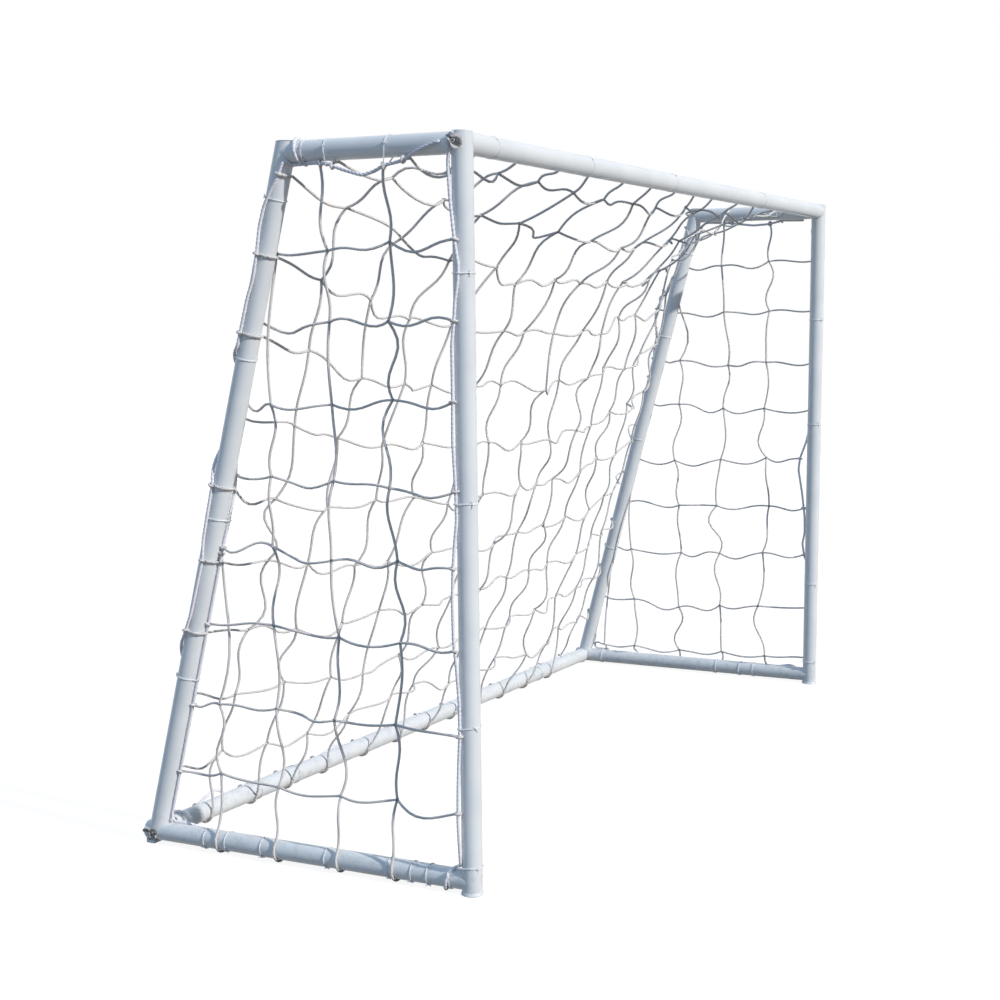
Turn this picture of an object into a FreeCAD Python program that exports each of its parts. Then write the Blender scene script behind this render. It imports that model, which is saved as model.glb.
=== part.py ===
import FreeCAD
import Part
import math
import os
import Sketcher

# A small free-standing soccer goal: two welded side frames of round steel tube, joined by a
# crossbar and a ground bar that are held with studs and wing nuts, and dressed with a net.
#
# Frame of reference, in millimetres: X runs along the crossbar, Y from the goal line to the
# back, Z up. The origin is on the ground in the middle of the footprint. Each side frame is
# drawn in its own plane, X = 0, and its Placement moves it out to its side.

X_AXIS = FreeCAD.Vector(1, 0, 0)
Y_AXIS = FreeCAD.Vector(0, 1, 0)
Z_AXIS = FreeCAD.Vector(0, 0, 1)

SIDES = (("left", -1), ("right", 1))

# Every size that can be set by itself, with what it measures.
SIZES = (
    ("goal_width", 1800.0, "over the two front posts"),
    ("goal_height", 1200.0, "floor to the top of the crossbar"),
    ("base_depth", 675.0, "front of the posts to the back of the ground bar"),
    ("roof_depth", 324.0, "front post axis to rear post axis at the crossbar"),
    ("tube_od", 34.0, "outer diameter of every tube"),
    ("tube_wall", 1.2, "wall of every tube"),
    ("bar_lift", 5.5, "floor to the underside of the bars on the ground"),
    ("cope_gap", 0.15, "joint gap where one tube is shaped to another"),
    ("plug_gap", 0.2, "plug to the tube's bore"),
    ("plug_wall", 2.0, "wall of the moulded plugs"),
    ("foot_flare", 2.0, "how far a front foot's rim stands out from the tube"),
    ("foot_depth", 18.0, "how deep a front foot's plug goes into the post"),
    ("foot_gap", 0.5, "top of a foot to the underside of its bar"),
    ("cap_rim", 1.5, "thickness of the caps on the posts"),
    ("cap_depth", 9.0, "how deep the top caps go into the posts"),
    ("rear_rim", 3.0, "thickness of a rear foot behind its bar"),
    ("rear_depth", 10.0, "how deep a rear foot's plug goes into its bar"),
    ("heel_width", 22.0, "width of a rear foot's heel"),
    ("heel_length", 14.0, "how far the heel runs forward under its bar"),
    ("stud_dia", 6.0, "thread diameter of the studs"),
    ("stud_play", 0.3, "stud to the hole in the tube, at the radius"),
    ("stud_show", 3.0, "stud end past the wing nut"),
    ("stud_tip", 0.8, "chamfer of a stud's tip"),
    ("anchor_inset", 3.0, "bar's saddle to the face of the stud's plug"),
    ("anchor_depth", 14.0, "length of the stud's plug"),
    ("washer_dia", 22.0, "outer diameter of the washers"),
    ("washer_thick", 1.5, "thickness of the washers"),
    ("washer_play", 0.25, "stud to the washer's hole, at the radius"),
    ("seat_gap", 0.1, "tube to washer, and washer to nut"),
    ("nut_running", 0.05, "running clearance of nut on stud, at the radius"),
    ("nut_base", 13.0, "diameter of the nut's foot"),
    ("nut_neck", 10.4, "diameter of the nut's top"),
    ("nut_height", 7.5, "height of the nut's hub"),
    ("wing_span", 28.0, "across the two wings"),
    ("wing_rise", 13.5, "top of the wings above the nut's foot"),
    ("wing_thick", 2.4, "thickness of the wings"),
    ("wing_round", 3.0, "corner radius of the wings"),
    ("rope_dia", 6.0, "border rope"),
    ("rope_gap", 0.3, "rope to the tube beside it"),
    ("rope_bend", 18.0, "radius of the rope's axis in the corners"),
    ("rope_end", 30.0, "where the lower run of the rope stops short of the post"),
    ("rope_clear", 45.0, "where the cross ropes stop short of the side frames"),
    ("tie_gap", 0.15, "tie to what it holds"),
    ("tie_thick", 1.2, "thickness of a tie's band"),
    ("tie_width", 2.5, "width of a tie's band"),
    ("tie_head", 4.5, "length and width of a tie's head"),
    ("net_thick", 3.0, "thickness of the panels that stand for the net"),
    ("net_gap", 0.35, "panel to what lies beside it"),
    ("sag_front", 115.0, "drop of the slack net half-way back under the roof"),
    ("sag_corner", 253.0, "drop of the slack net where the roof turns into the back"),
    ("sag_upper", 80.0, "how far the slack net hangs in front of the rear posts' upper half"),
    ("sag_lower", 58.0, "the same in their lower half"),
)

# Sizes that follow from those above.
LAYOUT = (
    ("tube_r", "Sizes.tube_od / 2"),
    ("bore_r", "Sizes.tube_od / 2 - Sizes.tube_wall"),
    ("cope_r", "Sizes.tube_od / 2 + Sizes.cope_gap"),
    ("plug_r", "bore_r - Sizes.plug_gap"),
    ("post_x", "Sizes.goal_width / 2 - tube_r"),
    ("run_depth", "Sizes.base_depth - Sizes.tube_od"),
    ("front_y", "-(run_depth + Sizes.rear_rim - Sizes.foot_flare) / 2"),
    ("rear_y", "front_y + run_depth"),
    ("top_y", "front_y + Sizes.roof_depth"),
    ("top_z", "Sizes.goal_height - tube_r"),
    ("low_z", "Sizes.bar_lift + tube_r"),
    ("rise", "top_z - low_z"),
    ("slope", "(rear_y - top_y) / rise"),
    ("lean", "atan(slope)"),
    ("lean_sin", "sin(lean)"),
    ("lean_cos", "cos(lean)"),
    ("foot_rim", "Sizes.bar_lift - Sizes.foot_gap"),
    ("stud_r", "Sizes.stud_dia / 2"),
    ("hole_r", "stud_r + Sizes.stud_play"),
    ("washer_seat", "tube_r + Sizes.seat_gap"),
    ("nut_seat", "washer_seat + Sizes.washer_thick + Sizes.seat_gap"),
    ("stud_end", "nut_seat + Sizes.nut_height + Sizes.stud_show"),
    ("anchor_face", "cope_r + Sizes.anchor_inset"),
    ("rope_r", "Sizes.rope_dia / 2"),
    ("rope_line", "tube_r + Sizes.rope_gap + rope_r"),
    ("tie_in", "tube_r + Sizes.tie_gap"),
    ("tie_out", "tie_in + Sizes.tie_thick"),
    ("net_edge", "rope_line + rope_r + Sizes.tie_gap + Sizes.tie_thick + Sizes.net_gap"),
    ("rope_tie_in", "rope_r + Sizes.tie_gap"),
    ("rope_tie_out", "rope_tie_in + Sizes.tie_thick"),
    ("tie_spread", "acos((tie_out - rope_tie_out) / rope_line)"),
    ("tie_step", "(360 deg - 2 * tie_spread) / 8"),
    ("tie_corner", "tie_out / cos(tie_step / 2)"),
    ("net_side", "tie_corner + Sizes.net_gap"),
    ("net_half", "Sizes.net_thick / 2"),
    ("net_x", "post_x - net_side"),
)

# Where the ties sit, as shares of each tube's run between the frame's corner points:
# posts from the ground up, side bars from the front back, cross bars from left to right.
POST_TIES = {"left": (0.0214, 0.221, 0.529, 0.833), "right": (0.0295, 0.202, 0.5515, 0.774)}
TOP_TIES = {"left": (0.393, 0.740, 0.872), "right": (0.32, 0.70)}
REAR_TIES = {"left": (0.248, 0.49, 0.72, 0.938), "right": (0.26, 0.51, 0.74, 0.92)}
BOTTOM_TIES = {
    "left": (0.055, 0.121, 0.171, 0.240, 0.4315, 0.650, 0.773, 0.844),
    "right": (0.234, 0.291, 0.397, 0.909),
}
CROSSBAR_TIES = (0.05, 0.245, 0.463, 0.755)
GROUND_TIES = (0.16, 0.232, 0.45, 0.65, 0.838)

# How far each wing nut is turned from upright wings when the goal stands ready, in degrees.
NUT_TURNS = {"top_left": 50, "top_right": -25, "bottom_left": 55, "bottom_right": 15}

# The slack net in steps from side to side, with how much of the full sag each step has.
SAG_STEPS = ((-1.0, 0.0), (-0.75, 0.5), (-0.4, 0.94), (0.4, 0.94), (0.75, 0.5), (1.0, 0.0))

doc = FreeCAD.newDocument("soccer_goal_frame")

sizes = doc.addObject("Spreadsheet::Sheet", "Sizes")
for row, (alias, value, note) in enumerate(SIZES, start=1):
    sizes.set(f"A{row}", note)
    sizes.set(f"B{row}", str(value))
    sizes.setAlias(f"B{row}", alias)

layout = doc.addObject("Spreadsheet::Sheet", "Layout")
for row, (alias, formula) in enumerate(LAYOUT, start=1):
    layout.set(f"A{row}", alias)
    layout.set(f"B{row}", "=" + formula)
    layout.setAlias(f"B{row}", alias)
layout.setAlias("D1", "trial")
doc.recompute()


def number(expression):
    """The value of an expression now, used to draw a sketch close to its solution."""
    layout.set("D1", "=" + expression)
    layout.recompute()
    value = layout.trial
    return float(getattr(value, "Value", value))


# ---------------------------------------------------------------- sketches and features


def origin_plane(body, role):
    """One of a body's own origin planes."""
    return [item for item in body.Origin.OriginFeatures if item.Role == role][0]


def new_sketch(body, name, role):
    """An empty sketch on one of the body's origin planes."""
    sketch = body.newObject("Sketcher::SketchObject", name)
    sketch.AttachmentSupport = [(origin_plane(body, role), "")]
    sketch.MapMode = "FlatFace"
    return sketch


def pin_point(sketch, curve, end, across, up):
    """Hold a curve's point at two expressions."""
    for kind, expression in (("DistanceX", across), ("DistanceY", up)):
        rule = Sketcher.Constraint(kind, -1, 1, curve, end, number(expression))
        index = sketch.addConstraint(rule)
        sketch.setExpression(f"Constraints[{index}]", expression)


def add_polygon(sketch, corners):
    """A closed outline through corners given as pairs of expressions."""
    points = [FreeCAD.Vector(number(across), number(up), 0) for across, up in corners]
    first = sketch.GeometryCount
    count = len(points)
    for index in range(count):
        line = Part.LineSegment(points[index], points[(index + 1) % count])
        sketch.addGeometry(line, False)
    for index in range(count):
        following = first + (index + 1) % count
        sketch.addConstraint(Sketcher.Constraint("Coincident", first + index, 2, following, 1))
    for index, (across, up) in enumerate(corners):
        pin_point(sketch, first + index, 1, across, up)


def add_circle(sketch, across, up, radius):
    """A circle whose centre and radius follow expressions."""
    centre = FreeCAD.Vector(number(across), number(up), 0)
    curve = sketch.addGeometry(Part.Circle(centre, Z_AXIS, number(radius)), False)
    index = sketch.addConstraint(Sketcher.Constraint("Radius", curve, number(radius)))
    sketch.setExpression(f"Constraints[{index}]", radius)
    pin_point(sketch, curve, 3, across, up)


def pad(body, name, sketch, length, side_type="One side", reverse=False):
    """Extrude a sketch by an expression."""
    feature = body.newObject("PartDesign::Pad", name)
    feature.Profile = sketch
    feature.SideType = side_type
    feature.Reversed = reverse
    feature.setExpression("Length", length)
    return feature


def revolve(body, name, corners):
    """Turn a half profile of (radius, height) corners about the body's Z axis."""
    sketch = new_sketch(body, name + "_profile", "XZ_Plane")
    add_polygon(sketch, corners)
    feature = body.newObject("PartDesign::Revolution", name)
    feature.Profile = sketch
    feature.ReferenceAxis = (sketch, ["V_Axis"])
    feature.Angle = 360
    return feature


def cut_hole(body, name, role, across, up, radius):
    """A round hole right through the body, square to one of its origin planes."""
    sketch = new_sketch(body, name + "_circle", role)
    add_circle(sketch, across, up, radius)
    feature = body.newObject("PartDesign::Pocket", name)
    feature.Profile = sketch
    feature.Type = "ThroughAll"
    feature.SideType = "Symmetric"
    return feature


def place(item, position=("0", "0", "0"), axis=None, angle="0"):
    """Bind an object's Placement to expressions."""
    if axis is not None:
        item.Placement = FreeCAD.Placement(FreeCAD.Vector(), FreeCAD.Rotation(axis, 1))
        item.setExpression("Placement.Rotation.Angle", angle)
    for letter, expression in zip("xyz", position):
        item.setExpression("Placement.Base." + letter, expression)
    return item


# ---------------------------------------------------------------- tubes and their copes


def rod(name, radius, length, position, axis=None, angle="0"):
    """A solid round bar that starts at a position and runs along its turned Z axis."""
    item = doc.addObject("Part::Cylinder", name)
    item.setExpression("Radius", radius)
    item.setExpression("Height", length)
    return place(item, position, axis, angle)


def rod_back(name, radius, start, length, height):
    """A bar that runs from a start on Y towards the back, at a height."""
    return rod(name, radius, length, ("0", start, height), X_AXIS, "-90")


def rod_lean(name, radius, extra="0"):
    """A bar along the rear post's axis, from its lower corner point to above the roof."""
    length = f"Layout.rise / Layout.lean_cos + Sizes.tube_od + {extra}"
    return rod(name, radius, length, ("0", "Layout.rear_y", "Layout.low_z"), X_AXIS, "Layout.lean")


def rod_up(name, radius):
    """A bar along the front post's axis, from the floor to above the roof."""
    length = "Sizes.goal_height + Sizes.tube_od"
    return rod(name, radius, length, ("0", "Layout.front_y", "0"))


def rod_across(name, radius, position_y, height):
    """A bar across a side frame, where a stud passes it. Drilled once the frame is welded."""
    position = ("-Sizes.tube_od", position_y, height)
    return rod(name, radius, "Sizes.tube_od * 2", position, Y_AXIS, "90")


def slab_box(name, low_height, high_height):
    """A box round the rear post between two heights."""
    item = doc.addObject("Part::Box", name)
    item.setExpression("Length", "Sizes.tube_od * 2")
    item.setExpression("Width", "Sizes.tube_od * 4")
    item.setExpression("Height", f"({high_height}) - ({low_height})")
    return place(item, ("-Sizes.tube_od", "Layout.top_y - Sizes.tube_od * 2", low_height))


def fused(name, items):
    """The union of several shapes."""
    item = doc.addObject("Part::MultiFuse", name)
    item.Shapes = items
    return item


def shaped(name, stock, tools):
    """A bar with its bore, holes and copes taken away one after another."""
    item = stock
    for index, tool in enumerate(tools, start=1):
        last = index == len(tools)
        step = doc.addObject("Part::Cut", name if last else f"{name}_step_{index}")
        step.Base = item
        step.Tool = tool
        item = step
    return item


def shifted(name, item, side):
    """A copy of a cope tool in the plane of one side frame."""
    link = doc.addObject("App::Link", name)
    link.LinkedObject = item
    link.LinkTransform = True
    link.setExpression("LinkPlacement.Base.x", f"{side} * Layout.post_x")
    return link


# ---------------------------------------------------------------- the frame's tubes


def front_post(name):
    """The upright: a tube on its foot, with a cross hole for the crossbar's stud."""
    body = doc.addObject("PartDesign::Body", name)
    section = new_sketch(body, name + "_section", "XY_Plane")
    add_circle(section, "0", "0", "Layout.tube_r")
    add_circle(section, "0", "0", "Layout.bore_r")
    pad(body, name + "_tube", section, "Sizes.goal_height - Sizes.cap_rim - Layout.foot_rim")
    height = "Layout.top_z - Layout.foot_rim"
    cut_hole(body, name + "_stud_hole", "YZ_Plane", "0", height, "Layout.hole_r")
    return body


def bottom_bar(name):
    """The side bar on the ground, coped to the front post and bored for the ground bar's stud."""
    length = "Layout.run_depth + Layout.tube_r"
    stock = rod_back(name + "_stock", "Layout.tube_r", "Layout.front_y", length, "Layout.low_z")
    bore = rod_back(name + "_bore", "Layout.bore_r", "Layout.front_y", length, "Layout.low_z")
    cope = rod_up(name + "_cope", "Layout.cope_r")
    hole = rod_across(name + "_hole", "Layout.hole_r", "Layout.rear_y", "Layout.low_z")
    return shaped(name, stock, [bore, cope, hole])


def top_bar(name):
    """The side bar under the roof, coped to the front post and to the leaning rear post."""
    length = "Sizes.roof_depth"
    stock = rod_back(name + "_stock", "Layout.tube_r", "Layout.front_y", length, "Layout.top_z")
    bore = rod_back(name + "_bore", "Layout.bore_r", "Layout.front_y", length, "Layout.top_z")
    front = rod_up(name + "_front_cope", "Layout.cope_r")
    rear = rod_lean(name + "_rear_cope", "Layout.cope_r")
    hole = rod_across(name + "_hole", "Layout.hole_r", "Layout.front_y", "Layout.top_z")
    return shaped(name, stock, [bore, front, rear, hole])


def rear_post(name):
    """The leaning post: saddled onto the bottom bar and cut level under its cap."""
    stock = rod_lean(name + "_stock", "Layout.tube_r")
    bore = rod_lean(name + "_bore", "Layout.bore_r", "Sizes.tube_od")
    start = "Layout.rear_y - Sizes.tube_od"
    cope = rod_back(name + "_cope", "Layout.cope_r", start, "Sizes.tube_od * 2", "Layout.low_z")
    low = "Sizes.goal_height - Sizes.cap_rim"
    above = slab_box(name + "_above", low, "Sizes.goal_height + Sizes.tube_od * 2")
    hole = rod_across(name + "_hole", "Layout.hole_r", "Layout.rear_y", "Layout.low_z")
    return shaped(name, stock, [bore, cope, above, hole])


def cross_tube(name, across_y, height, tools):
    """A bar across the goal, shaped at both ends to the tubes that it meets."""
    position = ("-Layout.post_x", across_y, height)
    length = "Layout.post_x * 2"
    stock = rod(name + "_stock", "Layout.tube_r", length, position, Y_AXIS, "90")
    bore = rod(name + "_bore", "Layout.bore_r", length, position, Y_AXIS, "90")
    ends = []
    for tool in tools:
        for word, side in SIDES:
            ends.append(shifted(f"{tool.Name}_{word}", tool, side))
    return shaped(name, stock, [bore] + ends)


def crossbar():
    """The crossbar: its ends fit the front posts and the top bars behind them."""
    post = rod_up("crossbar_post_cope", "Layout.cope_r")
    bar = rod_back(
        "crossbar_bar_cope", "Layout.cope_r", "Layout.front_y",
        "Sizes.roof_depth", "Layout.top_z",
    )
    return cross_tube("crossbar", "Layout.front_y", "Layout.top_z", [post, bar])


def ground_bar():
    """The ground bar: its ends fit the bottom bars and the feet of the rear posts."""
    start = "Layout.rear_y - Sizes.tube_od"
    bar = rod_back(
        "ground_bar_bar_cope", "Layout.cope_r", start, "Sizes.tube_od * 2", "Layout.low_z",
    )
    post = rod_lean("ground_bar_post_cope", "Layout.cope_r")
    return cross_tube("ground_bar", "Layout.rear_y", "Layout.low_z", [bar, post])


# ---------------------------------------------------------------- feet and caps


def front_foot(name):
    """A moulded foot: a flared rim on the floor and a hollow plug up inside the post."""
    rim = "Layout.tube_r + Sizes.foot_flare"
    inner = "Layout.plug_r - Sizes.plug_wall"
    top = "Layout.foot_rim + Sizes.foot_depth"
    body = doc.addObject("PartDesign::Body", name)
    revolve(body, name + "_turned", (
        ("0", "0"),
        (rim + " - 1", "0"),
        (rim, "1"),
        ("Layout.tube_r + Sizes.foot_flare / 3", "Layout.foot_rim"),
        ("Layout.plug_r", "Layout.foot_rim"),
        ("Layout.plug_r", top),
        (inner, top),
        (inner, "Layout.foot_rim / 2"),
        ("0", "Layout.foot_rim / 2"),
    ))
    return body


def post_cap(name):
    """A flat cap flush with the crossbar, with a hollow plug down inside the post."""
    inner = "Layout.plug_r - Sizes.plug_wall"
    under = "-Sizes.cap_rim"
    deep = "-Sizes.cap_rim - Sizes.cap_depth"
    body = doc.addObject("PartDesign::Body", name)
    revolve(body, name + "_turned", (
        ("0", "0"),
        ("Layout.tube_r - Sizes.cap_rim / 2", "0"),
        ("Layout.tube_r", "-Sizes.cap_rim / 2"),
        ("Layout.tube_r", under),
        ("Layout.plug_r", under),
        ("Layout.plug_r", deep),
        (inner, deep),
        (inner, under),
        ("0", under),
    ))
    return body


def common(name, first, second):
    """The overlap of two shapes."""
    item = doc.addObject("Part::Common", name)
    item.Base = first
    item.Tool = second
    return item


def rear_post_cap(name):
    """A level cap on the leaning post: an oval plate and a plug along the post's own axis."""
    under = "Sizes.goal_height - Sizes.cap_rim"
    deep = "Sizes.goal_height - Sizes.cap_rim - Sizes.cap_depth"
    plate_stock = rod_lean(name + "_plate_stock", "Layout.tube_r")
    plate_slab = slab_box(name + "_plate_slab", under, "Sizes.goal_height")
    plate = common(name + "_plate", plate_stock, plate_slab)
    plug_stock = rod_lean(name + "_plug_stock", "Layout.plug_r")
    plug_slab = slab_box(name + "_plug_slab", deep, under)
    plug = common(name + "_plug", plug_stock, plug_slab)
    return fused(name, [plate, plug])


def rear_foot(name):
    """A moulded end for the bottom bar: a disc, a plug in the tube and a heel on the floor."""
    body = doc.addObject("PartDesign::Body", name)
    disc = new_sketch(body, name + "_disc_outline", "XZ_Plane")
    add_circle(disc, "0", "Layout.low_z", "Layout.tube_r")
    pad(body, name + "_disc", disc, "Sizes.rear_rim", reverse=True)
    plug = new_sketch(body, name + "_plug_outline", "XZ_Plane")
    add_circle(plug, "0", "Layout.low_z", "Layout.plug_r")
    pad(body, name + "_plug", plug, "Sizes.rear_depth")
    shank = new_sketch(body, name + "_shank_outline", "XZ_Plane")
    half = "Sizes.heel_width / 2"
    add_polygon(shank, (
        ("-" + half, "0"), (half, "0"), (half, "Layout.low_z"), ("-" + half, "Layout.low_z"),
    ))
    pad(body, name + "_shank", shank, "Sizes.rear_rim", reverse=True)
    heel = new_sketch(body, name + "_heel_outline", "XZ_Plane")
    add_polygon(heel, (
        ("-" + half, "0"), (half, "0"), (half, "Layout.foot_rim"), ("-" + half, "Layout.foot_rim"),
    ))
    pad(body, name + "_heel", heel, "Sizes.heel_length")
    return body


# ---------------------------------------------------------------- studs, washers, wing nuts

# Each is drawn along its own Z axis, which points outwards from the side frame's plane.


def stud_plug(name):
    """A turned plug for the end of a bar, with the threaded stud that passes the side frame."""
    back = "-Layout.anchor_face - Sizes.anchor_depth"
    body = doc.addObject("PartDesign::Body", name)
    revolve(body, name + "_turned", (
        ("0", back),
        ("Layout.plug_r", back),
        ("Layout.plug_r", "-Layout.anchor_face"),
        ("Layout.stud_r", "-Layout.anchor_face"),
        ("Layout.stud_r", "Layout.stud_end - Sizes.stud_tip"),
        ("Layout.stud_r - Sizes.stud_tip", "Layout.stud_end"),
        ("0", "Layout.stud_end"),
    ))
    return body


def washer(name):
    """A flat washer against the side of the tube."""
    outer = "Sizes.washer_dia / 2"
    inner = "Layout.stud_r + Sizes.washer_play"
    top = "Layout.washer_seat + Sizes.washer_thick"
    body = doc.addObject("PartDesign::Body", name)
    revolve(body, name + "_turned", (
        (inner, "Layout.washer_seat"),
        (outer, "Layout.washer_seat"),
        (outer, top),
        (inner, top),
    ))
    return body


def wing_nut(name):
    """A wing nut: a turned, tapered hub with a bore, and two rounded wings that splay out."""
    bore = "Layout.stud_r + Sizes.nut_running"
    base = "Sizes.nut_base / 2"
    neck = "Sizes.nut_neck / 2"
    body = doc.addObject("PartDesign::Body", name)
    revolve(body, name + "_hub", (
        (bore, "0"),
        (base, "0"),
        (base, "Sizes.nut_height / 4"),
        (neck, "Sizes.nut_height"),
        (bore, "Sizes.nut_height"),
    ))
    wings = new_sketch(body, name + "_wing_outline", "XZ_Plane")
    root = "(Sizes.stud_dia + Sizes.nut_neck) / 4"
    tip = "Sizes.wing_span / 2"
    for sign in ("", "-"):
        add_polygon(wings, (
            (f"{sign}{root}", "Sizes.nut_height * 0.15"),
            (f"{sign}{base} * 1.2", "Sizes.nut_height * 0.3"),
            (f"{sign}{tip}", "Sizes.wing_rise * 0.5"),
            (f"{sign}{tip}", "Sizes.wing_rise"),
            (f"{sign}{tip} * 0.62", "Sizes.wing_rise"),
            (f"{sign}{root}", "Sizes.nut_height * 0.85"),
        ))
    blades = pad(body, name + "_wings", wings, "Sizes.wing_thick", "Symmetric")
    doc.recompute()
    reach = number("Sizes.wing_span * 0.25")
    corners = []
    for index, edge in enumerate(blades.Shape.Edges, start=1):
        straight = edge.Curve.TypeId == "Part::GeomLine"
        if straight and abs(edge.tangentAt(edge.FirstParameter).y) > 0.99:
            if abs(edge.CenterOfMass.x) > reach:
                corners.append(f"Edge{index}")
    rounds = body.newObject("PartDesign::Fillet", name + "_rounds")
    rounds.Base = (blades, corners)
    rounds.setExpression("Radius", "Sizes.wing_round")
    return body


def outward(item, side, position_y, height, seat="0"):
    """Stand a turned piece on its side frame, with its axis pointing outwards."""
    across = f"{side} * (Layout.post_x + {seat})"
    return place(item, (across, position_y, height), Y_AXIS, f"{side} * 90")


def turned_outward(item, side, position_y, height, seat, turn):
    """The same for a piece that is first turned about its own axis."""
    across = f"{side} * (Layout.post_x + {seat})"
    where = f"vector({across}; {position_y}; {height})"
    turns = f"rotationy({side} * 90) * rotationz({turn})"
    item.setExpression("Placement", f"placement({where}; {turns})")
    return item


# ---------------------------------------------------------------- ropes


def rounded_path(points, radius):
    """Straight runs through the points, joined by arcs that are tangent to them."""
    edges = []
    start = points[0]
    for index in range(1, len(points) - 1):
        corner = points[index]
        into = (corner - points[index - 1]).normalize()
        out = (points[index + 1] - corner).normalize()
        turn = into.getAngle(out)
        cut_back = radius * math.tan(turn / 2)
        first = corner - into * cut_back
        last = corner + out * cut_back
        bisector = (out - into).normalize()
        reach = radius / math.cos(turn / 2) - radius
        middle = corner + bisector * reach
        edges.append(Part.LineSegment(start, first).toShape())
        edges.append(Part.Arc(first, middle, last).toShape())
        start = last
    edges.append(Part.LineSegment(start, points[-1]).toShape())
    return Part.Wire(edges)


def rope_along(name, points, radius):
    """A round rope along a path of runs and tangent arcs."""
    path = rounded_path(points, radius) if len(points) > 2 else Part.makePolygon(points)
    direction = points[1] - points[0]
    spin = FreeCAD.Rotation(Z_AXIS, direction)
    corners = []
    for index in range(9):
        angle = math.radians(45 * (index + 0.5))
        corner = FreeCAD.Vector(math.cos(angle), math.sin(angle), 0) * number("Layout.rope_r")
        corners.append(points[0] + spin.multVec(corner))
    ring = Part.makePolygon(corners)
    item = doc.addObject("Part::Feature", name)
    item.Shape = path.makePipeShell([ring], True, False)
    return item


def side_rope(name):
    """The side panel's border rope: up the front post, back under the roof, down and forward."""
    line = number("Layout.rope_line")
    slope = number("Layout.slope")
    lean_cos = number("Layout.lean_cos")
    front = number("Layout.front_y") + line
    low = number("Layout.low_z") + line
    high = number("Layout.top_z") - line
    rear_low = number("Layout.rear_y") - line * slope - line / lean_cos
    rear_high = rear_low - (high - low) * slope
    start = number("Layout.low_z + Layout.rope_line - Layout.rope_r")
    stop = number("Layout.front_y + Sizes.rope_end")
    points = [
        FreeCAD.Vector(0, front, start),
        FreeCAD.Vector(0, front, high),
        FreeCAD.Vector(0, rear_high, high),
        FreeCAD.Vector(0, rear_low, low),
        FreeCAD.Vector(0, stop, low),
    ]
    return rope_along(name, points, number("Sizes.rope_bend"))


def cross_rope(name, across_y, height):
    """A straight rope along the crossbar or the ground bar."""
    length = "(Layout.post_x - Sizes.rope_clear) * 2"
    start = ("-Layout.post_x + Sizes.rope_clear", across_y, height)
    return rod(name, "Layout.rope_r", length, start, Y_AXIS, "90")


# ---------------------------------------------------------------- net panels


def side_net(name):
    """The side panel, a thin sheet inside the border rope, with its corners rounded to it."""
    front = "Layout.front_y + Layout.net_edge"
    low = "Layout.low_z + Layout.net_edge"
    high = "Layout.top_z - Layout.net_edge"
    inset = "Layout.net_edge * Layout.slope + Layout.net_edge / Layout.lean_cos"
    rear_low = f"Layout.rear_y - ({inset})"
    rear_high = f"{rear_low} - (Layout.rise - Layout.net_edge * 2) * Layout.slope"
    body = doc.addObject("PartDesign::Body", name)
    outline = new_sketch(body, name + "_outline", "YZ_Plane")
    add_polygon(outline, ((front, low), (rear_low, low), (rear_high, high), (front, high)))
    sheet = pad(body, name + "_sheet", outline, "Sizes.net_thick", "Symmetric")
    doc.recompute()
    corners = []
    for index, edge in enumerate(sheet.Shape.Edges, start=1):
        if abs(edge.tangentAt(edge.FirstParameter).x) > 0.99:
            corners.append(f"Edge{index}")
    rounds = body.newObject("PartDesign::Fillet", name + "_rounds")
    rounds.Base = (sheet, corners)
    rounds.setExpression("Radius", "Sizes.rope_bend")
    return body


def sagging_line(weight):
    """The slack net's line from the crossbar's rope back and down to the ground rope, as (y, z).

    At the side frames, where the weight is 0, it follows the top bar and the rear post. The more
    weight, the more it hangs down from the roof and forward from the rear posts.
    """
    front = number("Layout.front_y + Layout.net_edge + Layout.net_half")
    top_y = number("Layout.top_y")
    top_z = number("Layout.top_z")
    rise = number("Layout.rise")
    slope = number("Layout.slope")
    foot = number("Layout.net_edge * Layout.lean_cos")
    upper = number("Sizes.sag_upper") * weight
    lower = number("Sizes.sag_lower") * weight
    return [
        FreeCAD.Vector(0, front, top_z),
        FreeCAD.Vector(0, (front + top_y) / 2, top_z - number("Sizes.sag_front") * weight),
        FreeCAD.Vector(0, top_y - lower, top_z - number("Sizes.sag_corner") * weight),
        FreeCAD.Vector(0, top_y + rise * slope * 0.36 - upper, top_z - rise * 0.36),
        FreeCAD.Vector(0, top_y + rise * slope * 0.62 - lower, top_z - rise * 0.62),
        FreeCAD.Vector(0, top_y + (rise - foot) * slope, top_z - rise + foot),
    ]


def edges_of_band(points, first, last, x):
    """Two rows of points at x beside part of a line, half a panel's thickness off it each way.

    The bends are mitred, and an end that meets the next panel stops short of it.
    """
    half = number("Layout.net_half")
    gap = number("Sizes.net_gap") * 0.8
    ways = [(after - before).normalize() for before, after in zip(points, points[1:])]
    upper = []
    under = []
    for index in range(first, last + 1):
        into = ways[max(index - 1, 0)]
        out = ways[min(index, len(ways) - 1)]
        middle = (into + out).normalize()
        off = FreeCAD.Vector(0, -middle.z, middle.y) * (half / middle.dot(out))
        spot = points[index] + FreeCAD.Vector(x, 0, 0)
        if index == first and index > 0:
            spot = spot + out * gap
        if index == last and index < len(points) - 1:
            spot = spot - into * gap
        upper.append(spot + off)
        under.append(spot - off)
    return upper, under


def facet(*corners):
    """A flat face through its corners."""
    return Part.Face(Part.makePolygon([*corners, corners[0]]))


def halves(first, second, third, fourth):
    """The two flat triangles of a patch whose four corners aren't in one plane."""
    return [facet(first, second, third), facet(first, third, fourth)]


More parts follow.
